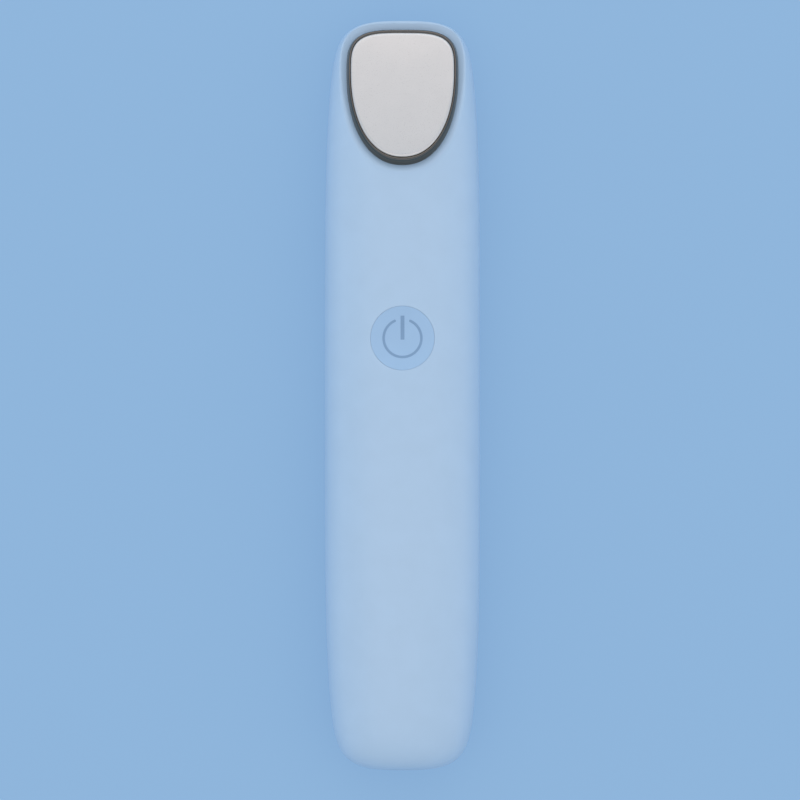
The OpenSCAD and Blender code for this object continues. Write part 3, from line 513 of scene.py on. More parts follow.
def button_well(body, button, points, loop, inner_loop):
    """Rings from the front's outer loop down the button's opening to its inner loop.
    The loops hold places in points, and the new points go after them."""
    outer = points[loop]
    inner = points[inner_loop]
    x = outer[:, 0]
    y = outer[:, 1] - BUTTON_Y
    angle = np.arctan2(y, x)
    edge = button.lip

    def circle(radius):
        return np.stack([radius * np.cos(angle), BUTTON_Y + radius * np.sin(angle)], 1)

    def on_crown(plan, inset=0):
        return np.column_stack([plan, crown_z(body, plan[:, 0], plan[:, 1], inset)])

    lip = circle(button.hole_radius + edge)
    collar_r = button.hole_radius + COLLAR_T
    collar = circle(collar_r)
    seat_z = float(crown_z(body, collar_r, BUTTON_Y, body.wall)) - SEAT_DROP
    rings = [on_crown(outer[:, :2] + (lip - outer[:, :2]) * t)
        for t in np.linspace(0, 1, WELL_RINGS + 1)[1:]]
    for k in range(1, LIP_STEPS + 1):
        turn = np.pi / 2 * k / LIP_STEPS
        ring = on_crown(circle(button.hole_radius + edge * (1 - math.sin(turn))))
        ring[:, 2] -= edge * (1 - math.cos(turn))
        rings.append(ring)
    rings.append(np.column_stack([circle(button.hole_radius), np.full(len(x), seat_z)]))
    rings.append(np.column_stack([collar, np.full(len(x), seat_z)]))
    rings.append(on_crown(collar, body.wall))
    rings.append(on_crown(collar + (inner[:, :2] - collar) * 0.5, body.wall))
    count = len(x)
    first_ring = len(points) + np.arange(count)
    last_ring = first_ring + (len(rings) - 1) * count
    faces = ring_faces(len(rings), count, len(points))
    for near, far in [(loop, first_ring), (last_ring, inner_loop)]:
        faces += [[int(near[k]), int(near[(k + 1) % count]), int(far[(k + 1) % count]),
            int(far[k])] for k in range(count)]
    return np.concatenate(rings), faces


def front_shell_mesh(scene):
    """Points and faces of the front shell, with the plate's and the button's openings."""
    body = scene.wand_body
    head = scene.wand_head
    rows = stations(body, 1, front_spacing)
    angles = column_angles(body)
    outer = sheet_points(body, 1, 0, rows, angles)
    inner = sheet_points(body, 1, body.wall, rows, angles)

    # Points near the recess's border move onto it, so that it stays crisp
    rim_y = body.length / 2 - head.rim_from_end
    share = egg_share(scene, outer[..., 0], outer[..., 1], -head.recess_width)
    border = (np.abs(share - 1) < BORDER_REACH) & (outer[..., 2] > body.seam_z + BORDER_UP)
    scale = np.where(border, share, 1)
    outer[..., 0] /= scale
    outer[..., 1] = rim_y + (outer[..., 1] - rim_y) / scale
    top = soft_min(crown_z(body, outer[..., 0], outer[..., 1]), slant_z(body, outer[..., 1]),
        body.cut_round)
    outer[..., 2] = np.where(border, top, outer[..., 2])
    outer[..., 2] -= recess(scene, outer[..., 0], outer[..., 1])

    # The plate's opening
    middle = (outer[:-1, :-1] + outer[1:, 1:]) / 2
    open_cell = egg_share(scene, middle[..., 0], middle[..., 1], head.opening_inset) < 1
    whole = ~open_cell
    near = np.zeros(outer.shape[:2], int)
    for dr, dc in [(0, 0), (0, 1), (1, 0), (1, 1)]:
        rows_n, cols_n = open_cell.shape
        near[dr:dr + rows_n, dc:dc + cols_n] += open_cell
    edge = (near > 0) & (near < 4)
    share = egg_share(scene, outer[..., 0], outer[..., 1], head.opening_inset)[edge]
    x = outer[edge][:, 0] / share
    y = rim_y + (outer[edge][:, 1] - rim_y) / share
    shift = np.stack([x, y, slant_z(body, y) - head.recess_depth], 1) - outer[edge]
    outer[edge] += shift
    inner[edge] += shift

    # The button's opening takes a block of cells
    at_button = np.argmin(np.abs(outer[:, 0, 1] - BUTTON_Y))
    block_rows = np.nonzero(np.abs(outer[:, 0, 1] - BUTTON_Y) < BUTTON_BLOCK)[0]
    block_cols = np.nonzero(np.abs(outer[at_button, :, 0]) < BUTTON_BLOCK)[0]
    top, bottom = block_rows[0], block_rows[-1]
    left, right = block_cols[0], block_cols[-1]
    keep = whole.copy()
    keep[top:bottom, left:right] = False
    cols = outer.shape[1]
    loop = [(top, c) for c in range(left, right)] + [(r, right) for r in range(top, bottom)]
    loop += [(bottom, c) for c in range(right, left, -1)]
    loop += [(r, left) for r in range(bottom, top, -1)]
    outer_loop = np.array([r * cols + c for r, c in loop])
    points, faces = double_sheet(outer, inner, keep, whole)
    rings, well = button_well(body, scene.wand_button, points, outer_loop,
        outer_loop + len(points) // 2)
    return np.concatenate([points, rings]), faces + well


def rear_shell_mesh(scene):
    """Points and faces of the rear shell."""
    body = scene.wand_body
    rows = stations(body, -1, rear_spacing)
    angles = column_angles(body)
    outer = sheet_points(body, -1, 0, rows, angles)
    inner = sheet_points(body, -1, body.wall, rows, angles)
    whole = np.ones((outer.shape[0] - 1, outer.shape[1] - 1), bool)
    return double_sheet(outer, inner, whole, whole)


# ---------- Geometry Nodes ----------

def add_node(tree, kind, inputs=None, **settings):
    """Adds a node, sets it up, and links or sets its inputs. A node given as an input stands for
    its first output."""
    node = tree.nodes.new(kind)
    for name, value in settings.items():
        setattr(node, name, value)
    for key, value in (inputs or {}).items():
        if isinstance(value, bpy.types.Node):
            value = value.outputs[0]
        if isinstance(value, bpy.types.NodeSocket):
            tree.links.new(value, node.inputs[key])
        else:
            node.inputs[key].default_value = value
    return node


def start_tree(name, inputs):
    """New geometry tree with named inputs, and its input node's sockets by name."""
    tree = bpy.data.node_groups.new(name, "GeometryNodeTree")
    tree.interface.new_socket(name="Geometry", in_out="OUTPUT",
        socket_type="NodeSocketGeometry")
    for label, value in inputs.items():
        kind = "NodeSocketVector" if isinstance(value, tuple) else "NodeSocketFloat"
        tree.interface.new_socket(name=label, in_out="INPUT", socket_type=kind)
    return tree, add_node(tree, "NodeGroupInput").outputs


def run_tree(name, tree, geometry, material, inputs):
    """Ends a tree in realized geometry with its material, and turns its result into a piece."""
    real = add_node(tree, "GeometryNodeRealizeInstances", {"Geometry": geometry})
    dressed = add_node(tree, "GeometryNodeSetMaterial", {"Geometry": real, "Material": material})
    add_node(tree, "NodeGroupOutput", {"Geometry": dressed})
    holder = bpy.data.objects.new(name + "_source", bpy.data.meshes.new(name + "_source"))
    bpy.context.scene.collection.objects.link(holder)
    modifier = holder.modifiers.new("build", "NODES")
    modifier.node_group = tree
    for item in tree.interface.items_tree:
        if item.in_out == "INPUT":
            modifier[item.identifier] = inputs[item.name]
    evaluated = holder.evaluated_get(bpy.context.evaluated_depsgraph_get())
    mesh = bpy.data.meshes.new_from_object(evaluated)
    holder.modifiers.remove(modifier)
    bpy.data.objects.remove(holder)
    return add_piece(name, mesh)


# Points around the rim's outline and around its profile
RIM_SIDES = 256
RIM_PROFILE = 56
# How square the rim's profile is, where 2 is round
PROFILE_POWER = 4.5


def rim_piece(scene, material):
    """The rim: the egg outline on one side of a grid and a squared arch on the other."""
    head = scene.wand_head
    place = head_matrix(scene)
    inputs = {
        "Half Width": head.rim_width / 2,
        "Upper Reach": head.rim_up,
        "Lower Reach": head.rim_down,
        "Side Line": head.rim_side,
        "End Line": head.rim_end,
        "Height": head.rim_height,
        "Root": head.rim_sunk,
        "Draft": head.rim_draft,
        "Place": tuple(place.to_translation()),
        "Tilt": tuple(place.to_euler()),
    }
    tree, given = start_tree("plated_rim", inputs)
    grid = add_node(tree, "GeometryNodeMeshGrid", {"Size X": 2 * math.pi, "Size Y": 2 * math.pi,
        "Vertices X": RIM_SIDES + 1, "Vertices Y": RIM_PROFILE + 1})
    position = add_node(tree, "GeometryNodeInputPosition")
    turn = add_node(tree, "ShaderNodeSeparateXYZ", {"Vector": position}).outputs

    # One superellipse around the outline, and one around the profile
    def wave(angle, operation, power):
        value = add_node(tree, "ShaderNodeMath", {0: angle}, operation=operation)
        size = add_node(tree, "ShaderNodeMath", {0: value}, operation="ABSOLUTE")
        size = add_node(tree, "ShaderNodeMath", {0: size, 1: power}, operation="POWER")
        sign = add_node(tree, "ShaderNodeMath", {0: value}, operation="SIGN")
        return add_node(tree, "ShaderNodeMath", {0: size, 1: sign}, operation="MULTIPLY")

    sine = add_node(tree, "ShaderNodeMath", {0: turn[0]}, operation="SINE")
    upper = add_node(tree, "ShaderNodeMath", {0: sine, 1: 0.0}, operation="GREATER_THAN")
    power = add_node(tree, "GeometryNodeSwitch", {"Switch": upper, "False": 2 / LOWER_POWER,
        "True": 2 / UPPER_POWER}, input_type="FLOAT")
    reach = add_node(tree, "GeometryNodeSwitch", {"Switch": upper,
        "False": given["Lower Reach"], "True": given["Upper Reach"]}, input_type="FLOAT")
    around_x = wave(turn[0], "COSINE", power)
    around_y = wave(turn[0], "SINE", power)
    across = wave(turn[1], "COSINE", 2 / PROFILE_POWER)
    rise = wave(turn[1], "SINE", 2 / PROFILE_POWER)
    above = add_node(tree, "ShaderNodeMath", {0: rise, 1: 0.0}, operation="GREATER_THAN")
    tall = add_node(tree, "GeometryNodeSwitch", {"Switch": above, "False": given["Root"],
        "True": given["Height"]}, input_type="FLOAT")
    height = add_node(tree, "ShaderNodeMath", {0: rise, 1: tall}, operation="MULTIPLY")

    # Share of the way in from the outer wall, and the outer wall's lean
    share = add_node(tree, "ShaderNodeMath", {0: across, 1: -0.5, 2: 0.5},
        operation="MULTIPLY_ADD")
    rest = add_node(tree, "ShaderNodeMath", {0: 1.0, 1: share}, operation="SUBTRACT")
    lift = add_node(tree, "ShaderNodeMath", {0: rise, 1: 0.0}, operation="MAXIMUM")
    lean = add_node(tree, "ShaderNodeMath", {0: lift, 1: rest}, operation="MULTIPLY")
    lean = add_node(tree, "ShaderNodeMath", {0: lean, 1: given["Draft"]}, operation="MULTIPLY")
    inset_x = add_node(tree, "ShaderNodeMath", {0: share, 1: given["Side Line"], 2: lean},
        operation="MULTIPLY_ADD")
    inset_y = add_node(tree, "ShaderNodeMath", {0: share, 1: given["End Line"], 2: lean},
        operation="MULTIPLY_ADD")
    half_x = add_node(tree, "ShaderNodeMath", {0: given["Half Width"], 1: inset_x},
        operation="SUBTRACT")
    half_y = add_node(tree, "ShaderNodeMath", {0: reach, 1: inset_y}, operation="SUBTRACT")
    x = add_node(tree, "ShaderNodeMath", {0: half_x, 1: around_x}, operation="MULTIPLY")
    y = add_node(tree, "ShaderNodeMath", {0: half_y, 1: around_y}, operation="MULTIPLY")
    point = add_node(tree, "ShaderNodeCombineXYZ", {"X": x, "Y": y, "Z": height})
    ring = add_node(tree, "GeometryNodeSetPosition", {"Geometry": grid, "Position": point})
    closed = add_node(tree, "GeometryNodeMergeByDistance", {"Geometry": ring,
        "Distance": SAME_POINT})
    placed = add_node(tree, "GeometryNodeTransform", {"Geometry": closed,
        "Translation": given["Place"], "Rotation": given["Tilt"]})
    return run_tree("plate_rim_ring", tree, placed, material, inputs)


CONTACT_COUNT = 12
CONTACT_PITCH = 0.5 * MM
CONTACT_W = 0.26 * MM
CONTACT_L = 3.4 * MM
CONTACT_T = 0.06 * MM
CONTACT_FROM_TIP = 0.5 * MM
TONGUE_T = 0.7 * MM


def contacts_piece(material):
    """Gold contact strips on both faces of the port's tongue."""
    middle_z = (PORT_LOW.z + PORT_HIGH.z) / 2
    inputs = {
        "First": (-(CONTACT_COUNT - 1) / 2 * CONTACT_PITCH,
            TONGUE_LOW.y + CONTACT_FROM_TIP + CONTACT_L / 2, middle_z),
        "Step": (CONTACT_PITCH, 0, 0),
        "Strip": (CONTACT_W, CONTACT_L, CONTACT_T),
        "Face": (0, 0, TONGUE_T / 2),
    }
    tree, given = start_tree("port_contacts", inputs)
    rows = add_node(tree, "GeometryNodeJoinGeometry")
    strip = add_node(tree, "GeometryNodeMeshCube", {"Size": given["Strip"]})
    for face in (1, -1):
        offset = add_node(tree, "ShaderNodeVectorMath", {0: given["Face"], "Scale": face},
            operation="SCALE")
        start = add_node(tree, "ShaderNodeVectorMath", {0: given["First"], 1: offset})
        line = add_node(tree, "GeometryNodeMeshLine", {"Count": CONTACT_COUNT,
            "Start Location": start, "Offset": given["Step"]})
        strips = add_node(tree, "GeometryNodeInstanceOnPoints", {"Points": line,
            "Instance": strip})
        tree.links.new(strips.outputs[0], rows.inputs[0])
    return run_tree("port_contacts", tree, rows, material, inputs)


# ---------- Plate, button and port meshes ----------

# Points around the plate, rings over its face and steps round its edge
PLATE_SIDES = 256
PLATE_RINGS = 14
BEVEL_STEPS = 9


def plate_rings(scene):
    """Rings of the massage plate from its underside, round its edge and in over its face."""
    head = scene.wand_head
    angle = np.linspace(0, 2 * np.pi, PLATE_SIDES, endpoint=False)
    side = head.rim_side + head.plate_gap
    end = head.rim_end + head.plate_gap
    face_z = head.rim_height + head.plate_proud
    edge_z = face_z - head.plate_crown
    shelf_z = face_z - head.plate_thickness
    shape = [(0, shelf_z), (0, (shelf_z + edge_z - head.plate_drop) / 2)]
    for turn in np.linspace(0, np.pi / 2, BEVEL_STEPS):
        shape.append((head.plate_bevel * (1 - math.cos(turn)),
            edge_z - head.plate_drop * (1 - math.sin(turn))))
    rings = []
    for inset, z in shape:
        x, y = egg(head, angle, side + inset, end + inset)
        rings.append(np.stack([x, y, np.full(PLATE_SIDES, z)], 1))
    for share in np.linspace(1, 0, PLATE_RINGS, endpoint=False)[1:]:
        z = edge_z + head.plate_crown * (1 - share ** 2)
        rings.append(np.stack([x * share, y * share, np.full(PLATE_SIDES, z)], 1))
    matrix = np.array(head_matrix(scene))
    return [ring @ matrix[:3, :3].T + matrix[:3, 3] for ring in rings]


def cap_top(scene, x, y):
    """Height of the button's dished face over a point of the plan."""
    button = scene.wand_button
    radius = button.hole_radius - button.gap
    share = np.minimum(1, np.hypot(x, y - BUTTON_Y) / radius)
    dish = button.dish * (1 - share ** 2)
    return crown_z(scene.wand_body, x, y) - button.drop - dish


# Points around the cap, rings over its dish and steps round its edge
CAP_SIDES = 128
CAP_RINGS = 18
EDGE_STEPS = 6
# The hidden underside: the flange's height over the stem's foot and its thickness, the skirt's
# wall, the depth from the edge to the hollow's roof, and the stem's radius
FLANGE_UP = 0.7 * MM
FLANGE_T = 0.9 * MM
CORE_WALL = 1.1 * MM
CORE_TOP = 2.05 * MM
STEM_R = 1.4 * MM


def cap_rings(scene):
    """Rings of the button cap from its stem, under its skirt and in over its dished face."""
    button = scene.wand_button
    angle = np.linspace(0, 2 * np.pi, CAP_SIDES, endpoint=False)
    radius = button.hole_radius - button.gap
    flange_z = CAP_LOW.z + FLANGE_UP
    edge_z = float(cap_top(scene, radius, BUTTON_Y))
    core_z = edge_z - CORE_TOP
    shape = [(STEM_R, CAP_LOW.z), (STEM_R, core_z), (radius - CORE_WALL, core_z),
        (radius - CORE_WALL, flange_z), (FLANGE_R, flange_z), (FLANGE_R, flange_z + FLANGE_T),
        (radius, flange_z + FLANGE_T)]
    rings = [np.stack([r * np.cos(angle), BUTTON_Y + r * np.sin(angle),
        np.full(CAP_SIDES, z)], 1) for r, z in shape]
    turns = np.linspace(0, np.pi / 2, EDGE_STEPS)
    radii = [radius - button.edge * (1 - math.cos(t)) for t in turns]
    sinks = [button.edge * (1 - math.sin(t)) for t in turns]
    radii += list(np.linspace(radii[-1], 0, CAP_RINGS, endpoint=False)[1:])
    sinks += [0] * (CAP_RINGS - 1)
    for r, sink in zip(radii, sinks):
        x = r * np.cos(angle)
        y = BUTTON_Y + r * np.sin(angle)
        rings.append(np.stack([x, y, cap_top(scene, x, y) - sink], 1))
    return rings


# The ink stands proud by this much, and its root lies in the cap
MARK_PROUD = 0.02 * MM
MARK_ROOT = 0.12 * MM
# Points across a line, around the ring, round each of its ends and along the bar
MARK_ACROSS = 7
MARK_AROUND = 120
END_STEPS = 7
BAR_STEPS = 24
# Share of the line's width at which its round ends stop, so that they aren't points
BLUNT_END = 0.02
# The bar's two ends, from the button's middle
BAR_FROM = -0.25 * MM
BAR_TO = 3.9 * MM


def mark_strip(scene, spine, normal, half_w):
    """Closed strip on the button's face. spine and normal are plan arrays, half_w the strip's
    half width at each point of the spine."""
    across = np.linspace(-1, 1, MARK_ACROSS)
    plan = spine[:, None] + normal[:, None] * (half_w[:, None] * across)[..., None]
    z = cap_top(scene, plan[..., 0], plan[..., 1])
    top = np.concatenate([plan, (z + MARK_PROUD)[..., None]], 2)
    root = np.concatenate([plan, (z - MARK_ROOT)[..., None]], 2)
    whole = np.ones((len(spine) - 1, MARK_ACROSS - 1), bool)
    return double_sheet(top, root, whole, whole)


def mark_mesh(scene):
    """Points and faces of the power mark: an open ring with round ends, and a bar."""
    button = scene.wand_button
    half = button.mark_line / 2
    radius = button.mark_radius - half
    centre = np.array([0, BUTTON_Y])
    cap = half / radius
    opening = button.mark_open + cap
    ends = cap * np.sin(np.linspace(0, np.pi / 2, END_STEPS))
    start = np.pi / 2 + opening
    stop = 5 * np.pi / 2 - opening
    middle = np.linspace(start, stop, MARK_AROUND)[1:-1]
    along = np.concatenate([start - ends[::-1], middle, stop + ends])
    past = np.maximum(0, np.maximum(start - along, along - stop)) / cap
    direction = np.stack([np.cos(along), np.sin(along)], 1)
    ring_w = half * np.sqrt(np.maximum(BLUNT_END ** 2, 1 - past ** 2))
    points, faces = mark_strip(scene, centre + radius * direction, direction, ring_w)
    steps = np.linspace(BAR_FROM, BAR_TO, BAR_STEPS)
    spine = centre + np.stack([np.zeros(BAR_STEPS), steps], 1)
    normal = np.tile([1.0, 0.0], (BAR_STEPS, 1))
    bar, bar_faces = mark_strip(scene, spine, normal, np.full(BAR_STEPS, button.mark_bar / 2))
    faces += [[i + len(points) for i in face] for face in bar_faces]
    return np.concatenate([points, bar]), faces


PORT_SIDES = 96
PORT_LIP_STEPS = 9
PORT_SKIN = 0.3 * MM
PORT_BACK = 0.4 * MM


def port_rings():
    """Rings of the port's metal shell from its back, round its lip and down inside."""
    angle = np.linspace(0, 2 * np.pi, PORT_SIDES, endpoint=False)
    half_w = (PORT_HIGH.x - PORT_LOW.x) / 2
    half_h = (PORT_HIGH.z - PORT_LOW.z) / 2
    lip = PORT_SKIN / 2
    shape = [(0, PORT_HIGH.y), (0, PORT_LOW.y + lip)]
    for turn in np.linspace(0, np.pi, PORT_LIP_STEPS)[1:]:
        shape.append((lip * (1 - math.cos(turn)), PORT_LOW.y + lip * (1 - math.sin(turn))))
    shape.append((PORT_SKIN, PORT_HIGH.y - PORT_BACK))
    middle_z = (PORT_LOW.z + PORT_HIGH.z) / 2
    rings = []
    for inset, y in shape:
        x, z = stadium(np.abs(np.pi - angle), half_w - inset, half_h - inset)
        z = np.where(angle > np.pi, -z, z)
        rings.append(np.stack([x, np.full(PORT_SIDES, y), middle_z + z], 1))
    return rings


# ---------- Materials ----------

# Width of the broad drift in grains, the range that most of a noise's values keep to, and
# the least roughness
BROAD_GRAINS = 24
NOISE_LOW = 0.3
NOISE_HIGH = 0.7
LEAST_ROUGHNESS = 0.02
# Sockets of the coated shells and cap, and settings of the metals: plain, drawn along the
# wand, and wound across it
CLEAR_COAT = {"IOR": 1.4, "Coat Weight": 0.15, "Coat Roughness": 0.3}
METAL = {"metallic": 1.0}
DRAWN = {"metallic": 1.0, "stretch": (1, 0.08, 1)}
WOUND = {"metallic": 1.0, "stretch": (0.1, 1, 0.1)}


def finish(name, tint, roughness, grain, relief, metallic=0.0, vary=0.04, uneven=0.05,
        stretch=(1, 1, 1), sockets=None):
    """Material with a fine grain, whose colour and roughness drift a little. grain and relief
    are the real grain's width and height. tint is a linear colour, or a function that builds a
    patterned one from the tree and the object's coordinates."""
    material = bpy.data.materials.new(name)
    material.use_nodes = True
    tree = material.node_tree
    tree.nodes.clear()
    coords = add_node(tree, "ShaderNodeTexCoord").outputs["Object"]
    place = add_node(tree, "ShaderNodeMapping", {"Vector": coords, "Scale": stretch})
    fine = add_node(tree, "ShaderNodeTexNoise", {"Vector": place, "Scale": 1 / grain,
        "Detail": 3.0})
    broad = add_node(tree, "ShaderNodeTexNoise", {"Vector": place,
        "Scale": 1 / (BROAD_GRAINS * grain), "Detail": 2.0})
    base = tint(tree, coords) if callable(tint) else (*tint, 1)
    drift = add_node(tree, "ShaderNodeMapRange", {"Value": broad, "From Min": NOISE_LOW,
        "From Max": NOISE_HIGH, "To Min": 1 - vary, "To Max": 1 + vary})
    shade = add_node(tree, "ShaderNodeMix", {6: base, 7: drift, 0: 1.0}, data_type="RGBA",
        blend_type="MULTIPLY")
    rough = add_node(tree, "ShaderNodeMapRange", {"Value": fine, "From Min": NOISE_LOW,
        "From Max": NOISE_HIGH, "To Min": max(LEAST_ROUGHNESS, roughness - uneven),
        "To Max": roughness + uneven})
    bump = add_node(tree, "ShaderNodeBump", {"Height": fine, "Strength": 1.0,
        "Distance": relief})
    shader = add_node(tree, "ShaderNodeBsdfPrincipled", {"Base Color": shade.outputs[2],
        "Roughness": rough, "Normal": bump, "Metallic": metallic, **(sockets or {})})
    add_node(tree, "ShaderNodeOutputMaterial", {"Surface": shader})
    return material


def moulded_abs(colours):
    """Moulded ABS under a thin satin lacquer: an even body colour and a fine grain, with broad
    soft-edged highlights."""
    return finish("moulded_abs", colours.housing, 0.34, 0.16 * MM, 0.0006 * MM, vary=0.012,
        uneven=0.03, sockets=CLEAR_COAT)


def moulded_abs_button(colours):
    """The same satin ABS in the button's deeper blue, a little smoother where a finger rubs."""
    return finish("moulded_abs_button", colours.button, 0.33, 0.16 * MM, 0.0006 * MM,
        vary=0.012, uneven=0.03, sockets=CLEAR_COAT)


def pad_print(colours):
    """Pad-printed ink: a flat matt film, a little darker than the cap."""
    return finish("pad_print", colours.mark, 0.5, 0.08 * MM, 0.0005 * MM, vary=0.02)


def black_nickel(colours):
    """Black nickel plating over polished brass: a dark metal with a narrow, slightly soft shine."""
    return finish("black_nickel", colours.rim, 0.16, 0.3 * MM, 0.0003 * MM, metallic=1.0,
        vary=0.04, uneven=0.03)


def satin_stainless(colours):
    """Finely bead-blasted stainless steel: a pale grey metal with a soft, even sheen. The tiny
    dents scatter as much light as they mirror, which the half metallic value stands for."""
    return finish("satin_stainless", colours.plate, 0.3, 0.1 * MM, 0.0006 * MM, metallic=0.5,
        vary=0.01, uneven=0.03)


def tinned_steel():
    """Deep-drawn steel with a dull tin coat: soft grey mirror with faint drawing marks."""
    return finish("tinned_steel", srgb("#C9CACB"), 0.26, 0.2 * MM, 0.001 * MM, metallic=1.0,
        stretch=(1, 0.1, 1))


def gold_flash():
    """Gold flash over nickel: a warm even mirror with slight wear."""
    return finish("gold_flash", srgb("#E8C27A"), 0.22, 0.1 * MM, 0.0005 * MM, metallic=1.0)


def colour_split(axis, place, low, high):
    """Colour that changes where the object's coordinate passes a place, for a pair of pieces."""
    def build(tree, coords):
        parts = add_node(tree, "ShaderNodeSeparateXYZ", {"Vector": coords})
        past = add_node(tree, "ShaderNodeMath", {0: parts.outputs[axis], 1: place},
            operation="GREATER_THAN")
        return add_node(tree, "ShaderNodeMix", {0: past, 6: (*low, 1), 7: (*high, 1)},
            data_type="RGBA").outputs[2]
    return build


TRACK_FIELD = 4 * MM
HEATER_FIELD = 5 * MM


def copper_tracks(tree, coords):
    """Green solder mask with paler lines where copper tracks run under it, 0.25 mm wide."""
    return add_node(tree, "ShaderNodeTexBrick", {"Vector": coords, "Scale": 1 / TRACK_FIELD,
        "Color1": (*srgb("#12502F"), 1), "Color2": (*srgb("#175836"), 1),
        "Mortar": (*srgb("#2F7A4C"), 1), "Mortar Size": 0.03, "Brick Width": 0.7,
        "Row Height": 0.4})


def polyimide_heater(tree, coords):
    """Amber polyimide film with the heater's etched serpentine, whose runs are 1.6 mm apart."""
    lines = add_node(tree, "ShaderNodeTexWave", {"Vector": coords, "Scale": 1 / HEATER_FIELD},
        bands_direction="Y")
    return add_node(tree, "ShaderNodeMix", {0: lines, 6: (*srgb("#B5762B"), 1),
        7: (*srgb("#8A5A3A"), 1)}, data_type="RGBA").outputs[2]


# Where each pair of leads changes colour, between its two jackets
MOTOR_PAIR_X = -1.5 * MM
BATTERY_PAIR_X = -2.6 * MM
CHARGE_PAIR_X = 3.3 * MM


def inner_finishes():
    """Finish of each CAD node that stays, by node: the material's name, its colour, roughness,
    grain width and height in millimetres, and what else it sets."""
    leads_red = srgb("#B3261E")
    leads_black = srgb("#1B1B1D")
    plain = {
        # Amber polyimide film with an etched heater: glossy and translucent-looking
        "heater_film": ("polyimide_film", polyimide_heater, 0.3, 0.3, 0.001, {}),
        # Glass-dipped thermistor bead: a tiny glossy brown drop
        "thermistor": ("glass_bead", srgb("#5A2E14"), 0.12, 0.3, 0.001, {}),
        # Closed-cell silicone sponge: matt dark pores
        "sponge_pad": ("silicone_sponge", srgb("#3A4246"), 0.9, 0.35, 0.05, {"vary": 0.2}),
        # Moulded nylon: milky white with a waxy shine
        "head_bracket": ("moulded_nylon", srgb("#E9E8E2"), 0.45, 0.3, 0.004, {}),
        "motor_strap": ("moulded_nylon_strap", srgb("#E9E8E2"), 0.45, 0.3, 0.004, {}),
        "chassis": ("moulded_nylon_chassis", srgb("#E6E6E1"), 0.48, 0.4, 0.005, {}),
        # Zinc-plated steel screws: bluish bright metal with fine tool marks
        "chassis_screws": ("zinc_plate_chassis", srgb("#C0C5CB"), 0.3, 0.15, 0.003, METAL),
        # Deep-drawn nickel-plated can: smooth with marks along its axis
        "motor_can": ("drawn_nickel_can", srgb("#BFC0BE"), 0.22, 0.15, 0.001, DRAWN),
        # Moulded end cap: pale nylon
        "motor_end_cap": ("nylon_end_cap", srgb("#DFDDD2"), 0.5, 0.2, 0.003, {}),
        # Sintered bronze bush: dull brown-gold pores
        "motor_bush": ("sintered_bronze", srgb("#A9803F"), 0.5, 0.12, 0.006, METAL),
        # Bonded ferrite magnet: matt charcoal
        "motor_magnet": ("bonded_ferrite", srgb("#333438"), 0.7, 0.1, 0.004, {"vary": 0.1}),
        # Moulded silicone boot: soft matt black
        "motor_boot": ("silicone_rubber", srgb("#2A2B2E"), 0.75, 0.3, 0.003, {}),
        # Ground steel shaft: bright, with grinding marks round it
        "motor_shaft": ("ground_steel", srgb("#C8C9CA"), 0.18, 0.05, 0.0005, DRAWN),
        # Enamelled copper winding: rows of glossy wire
        "motor_armature": ("enamelled_copper", srgb("#9C5A2C"), 0.3, 0.12, 0.03, WOUND),
        # Sintered tungsten alloy: dark, heavy grey metal
        "motor_weight": ("tungsten_alloy", srgb("#7B7D80"), 0.42, 0.1, 0.004, METAL),
        # Moulded phenolic switch base: satin black
        "switch_base": ("moulded_phenolic", srgb("#232325"), 0.45, 0.2, 0.003, {}),
        # Acetal plunger: slippery ivory
        "switch_plunger": ("acetal", srgb("#E8DFC4"), 0.35, 0.2, 0.001, {}),
        "battery_socket": ("ivory_nylon", srgb("#E9E1C8"), 0.45, 0.2, 0.003, {}),
        "battery_plug": ("white_nylon", srgb("#EFEDE6"), 0.45, 0.2, 0.003, {}),
        # Tinned legs and solder: bright, slightly crystalline tin
        "switch_legs": ("tinned_legs", srgb("#C8C8C4"), 0.3, 0.1, 0.002, METAL),
        "solder_joints": ("tin_solder", srgb("#BFC1C2"), 0.25, 0.2, 0.003, METAL),
        # Light-emitting diodes: cloudy epoxy over a white body
        "button_leds": ("cloudy_epoxy", srgb("#E4E6DF"), 0.3, 0.2, 0.001, {}),
        # Transfer-moulded chip packages: fine matt black
        "board_chips": ("moulded_epoxy", srgb("#1D1E20"), 0.6, 0.08, 0.003, {"vary": 0.12}),
        # Ceramic passives: tan bodies with tinned ends
        "board_passives": ("fired_ceramic", srgb("#A98B63"), 0.5, 0.15, 0.003, {}),
        # Aluminium-laminate pouch: silvery film with soft dents
        "battery_cell": ("pouch_laminate", srgb("#C4C6C8"), 0.32, 1.5, 0.06, METAL),
        # Polyimide tape: glossy amber
        "battery_tape": ("polyimide_tape", srgb("#C98527"), 0.2, 0.5, 0.004, {}),
        # Foam tape pads: matt grey
        "battery_pads": ("foam_tape", srgb("#8B8D90"), 0.9, 0.3, 0.03, {"vary": 0.1}),
        # Liquid crystal polymer tongue of the port: dense matt black
        "port_tongue": ("black_lcp", srgb("#1C1C1E"), 0.55, 0.12, 0.002, {"vary": 0.2}),
        # PVC lead jackets: satin, one colour to a lead
        "motor_leads": ("pvc_jacket_motor", colour_split("X", MOTOR_PAIR_X, leads_red,
            srgb("#1F4FA8")), 0.4, 0.3, 0.002, {}),
        "heater_leads": ("ptfe_jacket", srgb("#E7E6E1"), 0.35, 0.3, 0.002, {}),
        "thermistor_leads": ("pvc_jacket_thermistor", srgb("#CDBF86"), 0.4, 0.3, 0.002, {}),
        "battery_leads": ("pvc_jacket_battery", colour_split("X", BATTERY_PAIR_X, leads_red,
            leads_black), 0.4, 0.3, 0.002, {}),
        "charge_leads": ("pvc_jacket_charge", colour_split("X", CHARGE_PAIR_X, leads_red,
            leads_black), 0.4, 0.3, 0.002, {}),
    }
